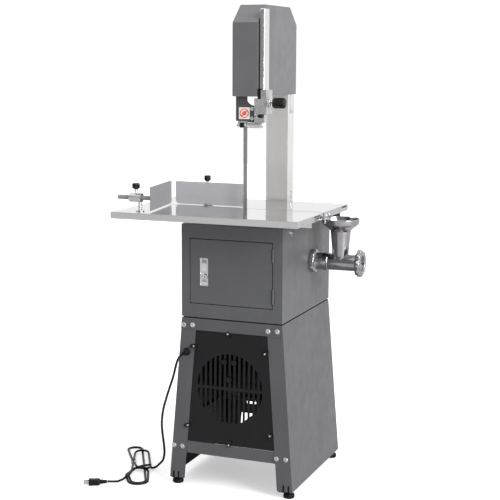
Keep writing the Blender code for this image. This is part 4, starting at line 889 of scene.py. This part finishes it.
def make_seam_hardware():
    """Latch plate and roller at the seam of the two tables, seen on the right-hand lips."""
    bracket = bmesh.new()
    frame_place = Matrix.Translation(SHIFT)
    right = TABLE_RIGHT
    add_box(bracket, frame_place, (right, -0.0915, 0.9275), (right + 0.0022, -0.0620, 0.9415), 0.0006)
    add_box(bracket, frame_place, (right, -0.0900, 0.9080), (right + 0.0018, -0.0760, 0.9290), 0.0006)
    for y, z in ((-0.0845, 0.9345), (-0.0690, 0.9345), (-0.0830, 0.9140)):
        add_pan_head(bracket, facing((right + 0.0021, y, z), "X"), 0.0038, 0.0022)
    piece("table_seam_plate", bracket, "zinc", "machine", 40)
    stop = bmesh.new()
    add_turned(stop, facing((right, -0.0440, 0.9340), "X"), [(0, 0), (0, 0.0050), (0.0040, 0.0050), (0.0052, 0.0038),
                                                             (0.0052, 0)], 24)
    piece("table_stop_button", stop, "zinc", "machine", 40)


def make_knob(node, place, body):
    """A small clamp knob: fluted black grip with a domed top, on a bright collar and screw."""
    low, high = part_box(node)
    radius = (high.x - low.x) / 2
    grip_low = high.z - 0.0205
    grip = bmesh.new()
    seat = facing((*place, 0), "Z")
    add_turned(grip, seat, [(grip_low, 0), (grip_low, 0.0052), (grip_low + 0.0035, radius * 0.90),
                            (grip_low + 0.0055, radius), (high.z - 0.0030, radius * 0.99),
                            (high.z - 0.0012, radius * 0.93), (high.z - 0.0002, radius * 0.78),
                            (high.z - 0.0006, radius * 0.40), (high.z - 0.0006, 0)],
               80, lambda angle, reach: reach - 0.0011 * (0.5 - 0.5 * math.cos(16 * angle)) * (reach > 0.006))
    made = piece(node + "_grip", grip, "plastic", body, 50)
    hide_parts(node)
    screw = bmesh.new()
    add_turned(screw, seat, [(low.z, 0), (low.z, 0.0030), (grip_low - 0.0120, 0.0030), (grip_low - 0.0115, 0.0048),
                             (grip_low + 0.0005, 0.0050), (grip_low + 0.0005, 0)], 24)
    piece(node + "_screw", screw, "bright", body, 40)


# ---- head and blade guide --------------------------------------------------------------------------
def dress_head():
    dress(["housing_shell", "housing_cover"], "housing", 0.0014)
    dress(["column"], "column", 0.0009)
    dress(["guide_post"], "bright", 0.0)
    dress(["post_clamp_block"], "cast", 0.0014)
    dress(["guide_bracket"], "cast", 0.0011)
    dress(["blade_guard"], "guard", 0.0004)
    dress(["thrust_roller"], "bright", 0.0006)
    dress(["upper_wheel", "lower_wheel"], "cast", 0.0008)
    dress(["upper_axle_slide", "tension_screw"], "zinc", 0.0006)
    make_column_plates()
    make_clamp_knob()
    make_guard_label()
    make_guide_details()
    make_cover_hardware()


def make_column_plates():
    """Side plate under the housing, its screw, and the small hook by the table."""
    plate = bmesh.new()
    side = facing((COLUMN_RIGHT, 0, 0), "X")
    add_box(plate, Matrix.Translation(SHIFT), (COLUMN_RIGHT, 0.2010, 1.2570), (COLUMN_RIGHT + 0.0016, 0.2445, 1.3230),
            0.0005)
    piece("column_side_plate", plate, "bright", "machine")
    screws("column_screws", [(COLUMN_RIGHT, 0.2237, 1.2487), (COLUMN_RIGHT, 0.2237, 1.0050)], "X", "machine", 0.0030)
    hook = bmesh.new()
    outline = [(-0.982, 0.216), (-0.982, 0.226), (-0.972, 0.2285), (-0.962, 0.2255), (-0.951, 0.2275), (-0.951, 0.2165),
               (-0.962, 0.2150), (-0.972, 0.2190)]
    add_prism(hook, side, outline, 0.0, 0.0032)
    piece("column_hook", hook, "bright", "machine", 40, 0.0006)


def make_clamp_knob():
    """Black fluted clamp knob on the post's block, with a bright collar."""
    low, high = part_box("post_clamp_knob")
    place = (0, (low.y + high.y) / 2 - SHIFT.y, (low.z + high.z) / 2)
    start, stop, radius = 0.0855, high.x - SHIFT.x, 0.0178
    grip = bmesh.new()
    seat = facing(place, "X")
    add_turned(grip, seat, [(start, 0), (start, 0.0120), (start + 0.0025, 0.0160), (start + 0.0060, radius),
                            (stop - 0.0080, radius), (stop - 0.0035, radius * 0.94), (stop - 0.0008, radius * 0.78),
                            (stop, radius * 0.55), (stop, 0)],
               96, lambda angle, reach: reach - 0.0022 * (0.5 - 0.5 * math.cos(12 * angle)) ** 2 * (reach > 0.013))
    made = piece("post_clamp_grip", grip, "plastic", "clamp_knob", 50)
    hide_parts("post_clamp_knob")
    collar = bmesh.new()
    add_turned(collar, seat, [(0.0645, 0), (0.0645, 0.0049), (0.0738, 0.0049), (0.0738, 0.0135), (0.0745, 0.0142),
                              (0.0790, 0.0142), (0.0800, 0.0132), (0.0810, 0.0105), (0.0858, 0.0100), (0.0858, 0)], 40)
    piece("post_clamp_collar", collar, "bright", "clamp_knob", 40)
    # A black box in the gap between the housing and the clamp block: painted shade of that gap.
    shade_box = bmesh.new()
    add_box(shade_box, Matrix.Translation(SHIFT), (0.0426, -0.1224, 1.3160), (0.0534, -0.1190, 1.3500), 0.0006)
    piece("post_clamp_gap_shade", shade_box, "plastic", "machine")


def make_guard_label():
    """White square with a plain ring and bar, and the guard's two screws."""
    label = bmesh.new()
    seat = facing((-0.0093, GUARD_FRONT - 0.0001, 1.2682), "-Y")
    add_prism(label, seat, rounded_outline(0.0195, 0.0194, 0.0010, 3), 0.0, 0.0004)
    piece("guard_label", label, "label", "guide")
    sign = bmesh.new()
    add_turned(sign, seat, [(0.0004, 0.0126), (0.0004, 0.0161), (0.0007, 0.0161), (0.0007, 0.0126)], 48)
    bar = seat @ Matrix.Rotation(math.radians(45), 4, "Z")
    add_box(sign, bar, (-0.0130, -0.0019, 0.0005), (0.0130, 0.0019, 0.00075))
    add_turned(sign, seat, [(0.0004, 0), (0.0004, 0.0075), (0.0006, 0.0075), (0.0006, 0)], 32)
    piece("guard_label_sign", sign, "sign", "guide")
    places = [(0.0183, GUARD_FRONT, 1.2833), (0.0183, GUARD_FRONT, 1.2516)]
    screws("guard_screws", places, "-Y", "guide", 0.0056, washer=0.0064)


def make_guide_details():
    """Guide blocks, their pin, the small lock knob and the set screws of the lower bracket."""
    blocks = bmesh.new()
    place = Matrix.Translation(SHIFT)
    add_box(blocks, place, (-0.0262, -0.1085, 1.2200), (-0.0116, -0.1056, 1.2362), 0.0006)
    grip = facing((0, -0.1222, 1.2600), "X")
    add_turned(blocks, grip, [(0.0452, 0), (0.0452, 0.0050), (0.0475, 0.0062), (0.0590, 0.0064), (0.0620, 0.0052),
                              (0.0630, 0.0034), (0.0630, 0)], 48,
               lambda angle, reach: reach - 0.0007 * (0.5 - 0.5 * math.cos(8 * angle)) * (reach > 0.0045))
    # The flat black hexagon on the set screw's head is painted shade for its hex socket.
    add_turned(blocks, facing((0.0345, -0.1185, 1.2600), "-Y"), [(0.0, 0), (0.0, 0.0024), (0.0006, 0.0024), (0.0006, 0)], 6)
    piece("guide_black_parts", blocks, "plastic", "guide", 40)
    pin = bmesh.new()
    add_turned(pin, facing((-0.0385, -0.1025, 1.2284), "X"),
               [(0, 0), (0, 0.0036), (0.0010, 0.0042), (0.0062, 0.0042), (0.0068, 0.0030), (0.0120, 0.0030), (0.0120, 0)],
               20)
    add_turned(pin, facing((-0.0065, -0.1056, 1.2300), "-Y"), [(0, 0), (0, 0.0046), (0.0026, 0.0044), (0.0030, 0.0034),
                                                              (0.0022, 0.0016), (0.0022, 0)], 24)
    add_turned(pin, facing((0.0345, -0.1151, 1.2600), "-Y"), [(0, 0), (0, 0.0050), (0.0030, 0.0048), (0.0036, 0.0040),
                                                              (0.0034, 0.0026), (0.0034, 0)], 32)
    add_turned(pin, facing((0.0400, -0.1205, 1.2600), "X"), [(0, 0), (0, 0.0030), (0.0055, 0.0030), (0.0055, 0)], 20)
    add_turned(pin, facing((0.0425, -0.1150, 1.2600), "-Y"), [(0, 0), (0, 0.0042), (0.0080, 0.0040), (0.0090, 0.0032),
                                                              (0.0090, 0)], 24)
    for x, z in ((0.0370, 1.3080), (0.0370, 1.2800)):
        add_pan_head(pin, facing((x, -0.1151, z), "-Y"), 0.0030, 0.0018)
    add_turned(pin, facing((0.0500, -0.0963, 1.2310), "X"), [(0, 0), (0, 0.0092), (0.0016, 0.0088), (0.0022, 0.0050),
                                                           (0.0012, 0.0040), (0.0012, 0)], 32)
    piece("guide_bright_parts", pin, "bright", "guide", 35)


def make_cover_hardware():
    """Two hinge barrels on the cover's rear edge and a turn latch near its front edge."""
    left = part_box("housing_cover")[0].x - SHIFT.x
    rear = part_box("housing_cover")[1].y - SHIFT.y
    barrels = bmesh.new()
    for z in (1.385, 1.510):
        for step in range(3):
            add_turned(barrels, facing((left - 0.0005, rear + 0.0025, z + 0.0125 * step), "Z"),
                       [(0, 0), (0, 0.0032), (0.0005, 0.0036), (0.0117, 0.0036), (0.0122, 0.0032), (0.0122, 0)], 20)
    piece("cover_hinge_barrels", barrels, "housing", "machine", 40)
    latch = bmesh.new()
    seat = facing((left, -0.104, 1.460), "-X")
    add_turned(latch, seat, [(0, 0), (0, 0.0130), (0.0008, 0.0128), (0.0014, 0.0118), (0.0014, 0.0040),
                             (0.0006, 0.0036), (0.0006, 0)], 48)
    piece("cover_latch_knob", latch, "plastic", "cover", 45)


# ---- blade -----------------------------------------------------------------------------------------
def make_blade():
    """The closed toothed band, with its teeth on the left edge and a bright ground line behind them."""
    low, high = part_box("saw_blade")
    left, right = low.x, high.x
    radius, thick, pitch, depth = 0.1463, 0.0007, 0.0064, 0.0030
    span = UPPER_Z - AXIS_Z
    half_turn = math.pi * radius
    total = 2 * span + 2 * half_turn
    count = round(total / pitch)
    centre_y = AXIS_Y + SHIFT.y

    def along(distance, out):
        distance %= total
        reach = radius + out
        if distance < span:
            return Vector((0, centre_y - reach, AXIS_Z + distance))
        distance -= span
        if distance < half_turn:
            angle = math.pi - distance / radius
            return Vector((0, centre_y + reach * math.cos(angle), UPPER_Z + reach * math.sin(angle)))
        distance -= half_turn
        if distance < span:
            return Vector((0, centre_y + reach, UPPER_Z - distance))
        distance -= span
        angle = -distance / radius
        return Vector((0, centre_y + reach * math.cos(angle), AXIS_Z + reach * math.sin(angle)))

    for name, edges, material, teeth in (("blade_band", (left + depth + 0.0012, right), "blade", False),
                                         ("blade_teeth", (left, left + depth + 0.0012), "tooth", True)):
        band = bmesh.new()
        rows = []
        steps = count * 2
        for step in range(steps):
            distance = total * step / steps
            tip = edges[0] + (0.0 if not teeth else (depth if step % 2 else 0.0))
            row = []
            for x, out in ((tip, 0), (edges[1], 0), (edges[1], thick), (tip, thick)):
                row.append(band.verts.new(along(distance, out) + Vector((x, 0, 0))))
            rows.append(row)
        for one, two in zip(rows, rows[1:] + rows[:1]):
            for corner in range(4):
                after = (corner + 1) % 4
                band.faces.new((one[corner], one[after], two[after], two[corner]))
        made = piece(name, band, material, "machine", 30)
        if not teeth:
            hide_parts("saw_blade")


# ---- grinder ---------------------------------------------------------------------------------------
def dress_grinder():
    dress(["auger", "grinder_plate"], "zinc")
    dress(["grinder_knife"], "blade", 0.0003)
    dress(["drive_shaft", "motor_pulley", "driven_pulley"], "zinc", 0.0004)
    dress(["shaft_bearing_plate"], "zinc", 0.0008)
    dress(["drive_belt"], "rubber", 0.0008)
    dress(["motor"], "motor", 0.0015)
    dress(["motor_base"], "stand", 0.0008)
    make_funnel()
    make_barrel()
    make_flange()
    make_ring_nut()
    make_clamp_screw()


def make_funnel():
    """Spun feed funnel with a rolled rim and a rounded shoulder."""
    low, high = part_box("feed_funnel")
    centre = (low + high) / 2 - SHIFT
    radius = (high.x - low.x) / 2
    bottom, top = low.z, high.z
    outer = [(bottom, 0.0348), (bottom + 0.0020, 0.0362), (bottom + 0.0050, 0.0380), (bottom + 0.0110, 0.0445),
             (bottom + 0.0170, 0.0530), (bottom + 0.0215, 0.0590), (bottom + 0.0250, 0.0618),
             (bottom + 0.0290, 0.0630), (top - 0.0060, 0.0634), (top - 0.0035, radius - 0.0002),
             (top - 0.0015, radius), (top - 0.0004, radius - 0.0010), (top, radius - 0.0024)]
    inner = [(top - 0.0008, radius - 0.0034), (top - 0.0040, radius - 0.0040), (bottom + 0.0270, 0.0592),
             (bottom + 0.0225, 0.0550), (bottom + 0.0120, 0.0405), (bottom + 0.0060, 0.0340), (bottom, 0.0322)]
    funnel = bmesh.new()
    add_turned(funnel, facing((centre.x, centre.y, 0), "Z"), outer + inner, 96)
    made = piece("funnel_bowl", funnel, "grinder", "machine", 60)
    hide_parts("feed_funnel")


def solid_object(bm):
    mesh = bpy.data.meshes.new("solid")
    bmesh.ops.recalc_face_normals(bm, faces=bm.faces)
    bm.to_mesh(mesh)
    bm.free()
    made = bpy.data.objects.new("solid", mesh)
    bpy.context.scene.collection.objects.link(made)
    return made


def carved(solids, cutters):
    """The bmesh of joined solids with the cutters taken out."""
    main = solid_object(solids[0])
    tools = [(solid_object(bm), "UNION") for bm in solids[1:]] + [(solid_object(bm), "DIFFERENCE") for bm in cutters]
    for tool, operation in tools:
        change = main.modifiers.new("change", "BOOLEAN")
        change.operation = operation
        change.solver = "EXACT"
        change.object = tool
    bpy.context.view_layer.update()
    mesh = bpy.data.meshes.new_from_object(main.evaluated_get(bpy.context.evaluated_depsgraph_get()))
    for tool in [main] + [tool for tool, _ in tools]:
        bpy.data.objects.remove(tool, do_unlink=True)
    bm = bmesh.new()
    bm.from_mesh(mesh)
    return bm


def make_barrel():
    """Cast barrel with its feed tube, a root fillet between them and a collar for the ring nut."""
    start, stop = 0.2446, 0.3460
    axis = facing((0, AXIS_Y, AXIS_Z), "X")
    tube_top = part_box("grinder_barrel")[1].z
    feed = facing((0.2835, AXIS_Y, 0), "Z")
    body, tube, bore, well = (bmesh.new() for _ in range(4))
    add_turned(body, axis, [(start, 0), (start, 0.0285), (0.3400, 0.0285), (0.3410, 0.0330), (stop, 0.0330), (stop, 0)], 72)
    add_turned(tube, feed, [(AXIS_Z, 0), (AXIS_Z, 0.0262), (0.790, 0.0280), (0.815, 0.0296), (0.845, 0.0325),
                            (tube_top, 0.0348), (tube_top, 0)], 72)
    add_turned(bore, axis, [(start + 0.0015, 0), (start + 0.0015, 0.0225), (stop + 0.01, 0.0225), (stop + 0.01, 0)], 64)
    add_turned(well, feed, [(AXIS_Z + 0.002, 0), (AXIS_Z + 0.002, 0.0195), (tube_top + 0.01, 0.0322),
                            (tube_top + 0.01, 0)], 64)
    made = piece("barrel_casting", carved([body, tube], [bore, well]), "grinder", "machine", 30,
                 0.0006)
    spigot = bmesh.new()
    add_turned(spigot, axis, [(0.1995, 0.0180), (0.1995, 0.0228), (start, 0.0230), (start, 0.0180)], 48)
    piece("barrel_spigot", spigot, "grinder", "machine", 40)
    thread = bmesh.new()
    points = [(stop - 0.0005, 0.0230)]
    points += [(stop - 0.0005 + 0.0006 * turn, 0.0332 if turn % 2 else 0.0324) for turn in range(6)]
    points.append((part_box("grinder_barrel")[1].x - SHIFT.x, 0.0230))
    add_turned(thread, axis, points, 48)
    piece("barrel_thread", thread, "grinder", "machine", 20)
    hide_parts("grinder_barrel")


def make_flange():
    """Mounting flange: turned disc with a stepped rim, hub and clamp boss."""
    axis = facing((0, AXIS_Y, AXIS_Z), "X")
    disc = bmesh.new()

    def lugs(angle, radius):
        if radius < 0.0345:
            return radius
        return radius - 0.0042 * (0.5 - 0.5 * math.cos(8 * angle)) ** 1.6
    add_turned(disc, axis, [(0.1500, 0.0106), (0.1500, 0.0238), (0.1800, 0.0240), (0.1804, 0.0385), (0.1816, 0.0400),
                            (0.1960, 0.0400), (0.1976, 0.0388), (0.1984, 0.0350), (0.1990, 0.0330), (0.2000, 0.0310),
                            (0.2030, 0.0300), (0.2250, 0.0298), (0.2262, 0.0308), (0.2425, 0.0308),
                            (0.2438, 0.0298), (0.2438, 0.0234), (0.2036, 0.0234), (0.2036, 0.0106)], 128, lugs)
    made = piece("flange_turning", disc, "grinder", "machine", 35)
    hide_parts("grinder_flange")
    boss = bmesh.new()
    seat = facing((0.232, AXIS_Y - 0.0285, 0.7615), "-Y")
    add_turned(boss, seat, [(-0.003, 0.0056), (-0.003, 0.0100), (0.0030, 0.0092), (0.0090, 0.0086), (0.0100, 0.0074),
                            (0.0100, 0.0056)], 40)
    piece("flange_clamp_boss", boss, "grinder", "machine", 40)


def make_ring_nut():
    """Ring nut with eight rounded lugs, a rolled front lip and the open mouth."""
    low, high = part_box("ring_nut")
    start, stop = low.x - SHIFT.x, high.x - SHIFT.x
    reach = (high.z - low.z) / 2
    inner, pocket = 0.0265, 0.0340
    plate_front = 0.3563

    def lugs(angle, radius):
        if radius < 0.0405:
            return radius
        return radius - 0.0052 * (0.5 - 0.5 * math.cos(8 * angle)) ** 1.6
    nut = bmesh.new()
    add_turned(nut, facing((0, AXIS_Y, AXIS_Z), "X"),
               [(start, pocket), (start, reach * 0.93), (start + 0.0008, reach * 0.97), (start + 0.0024, reach),
                (stop - 0.0050, reach), (stop - 0.0028, reach * 0.975), (stop - 0.0014, reach * 0.92),
                (stop - 0.0008, 0.0402), (stop - 0.0004, 0.0330), (stop, 0.0312), (stop - 0.0004, 0.0290),
                (stop - 0.0016, inner + 0.0006), (stop - 0.0030, inner), (plate_front, inner),
                (plate_front, pocket)], 128, lugs)
    made = piece("ring_nut_casting", nut, "grinder", "nut", 42)
    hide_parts("ring_nut")


def make_clamp_screw():
    """Clamp screw in the flange's boss, with a shallow round recess in its head."""
    seat = facing((0.232, 0.0105, 0.7615), "-Y")
    screw = bmesh.new()
    add_turned(screw, seat, [(-0.0150, 0), (-0.0150, 0.0050), (0.0002, 0.0050), (0.0002, 0.0064), (0.0030, 0.0068),
                             (0.0042, 0.0062), (0.0046, 0.0048), (0.0040, 0.0030), (0.0016, 0.0026), (0.0016, 0)], 36)
    made = piece("barrel_clamp_cap", screw, "zinc", "barrel_screw", 35)
    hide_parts("barrel_clamp_screw")


# ---- motor and switch ------------------------------------------------------------------------------
def make_motor_details():
    """Cooling fins round the motor."""
    fins = bmesh.new()
    low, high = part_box("motor_pulley")
    centre_z = (low.z + high.z) / 2
    for index in range(28):
        angle = 2 * math.pi * index / 28
        if abs(math.sin(angle) + 1) < 0.25 or math.sin(angle) > 0.88:
            continue
        place = facing((0, AXIS_Y, centre_z), "X") @ Matrix.Rotation(angle, 4, "Z")
        add_box(fins, place, (0.0745, -0.0010, -0.068), (0.0790, 0.0010, 0.045), 0.0004)
    piece("motor_fins", fins, "motor", "machine")


def make_switch_details():
    """Switch box and button in black plastic, with a bezel and two screws."""
    dress(["switch_box"], "plastic", 0.0022)
    dress(["switch_button"], "plastic", 0.0008)
    low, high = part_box("switch_box")
    centre = (low + high) / 2 - SHIFT
    face = high.x - SHIFT.x
    ring = bmesh.new()
    add_turned(ring, facing((face - 0.0004, centre.y, centre.z), "X"),
               [(0, 0.0118), (0, 0.0165), (0.0014, 0.0160), (0.0020, 0.0145), (0.0014, 0.0118)], 48)
    piece("switch_bezel", ring, "plastic", "machine", 40)
    places = [(face, centre.y, centre.z + 0.034), (face, centre.y, centre.z - 0.034)]
    screws("switch_screws", places, "X", "machine", 0.0030)


make_camera()
make_cord()
make_light()
make_floor()
dress_stand()
make_feet()
dress_cabinet()
dress_table()
dress_head()
make_blade()
dress_grinder()
make_motor_details()
make_switch_details()
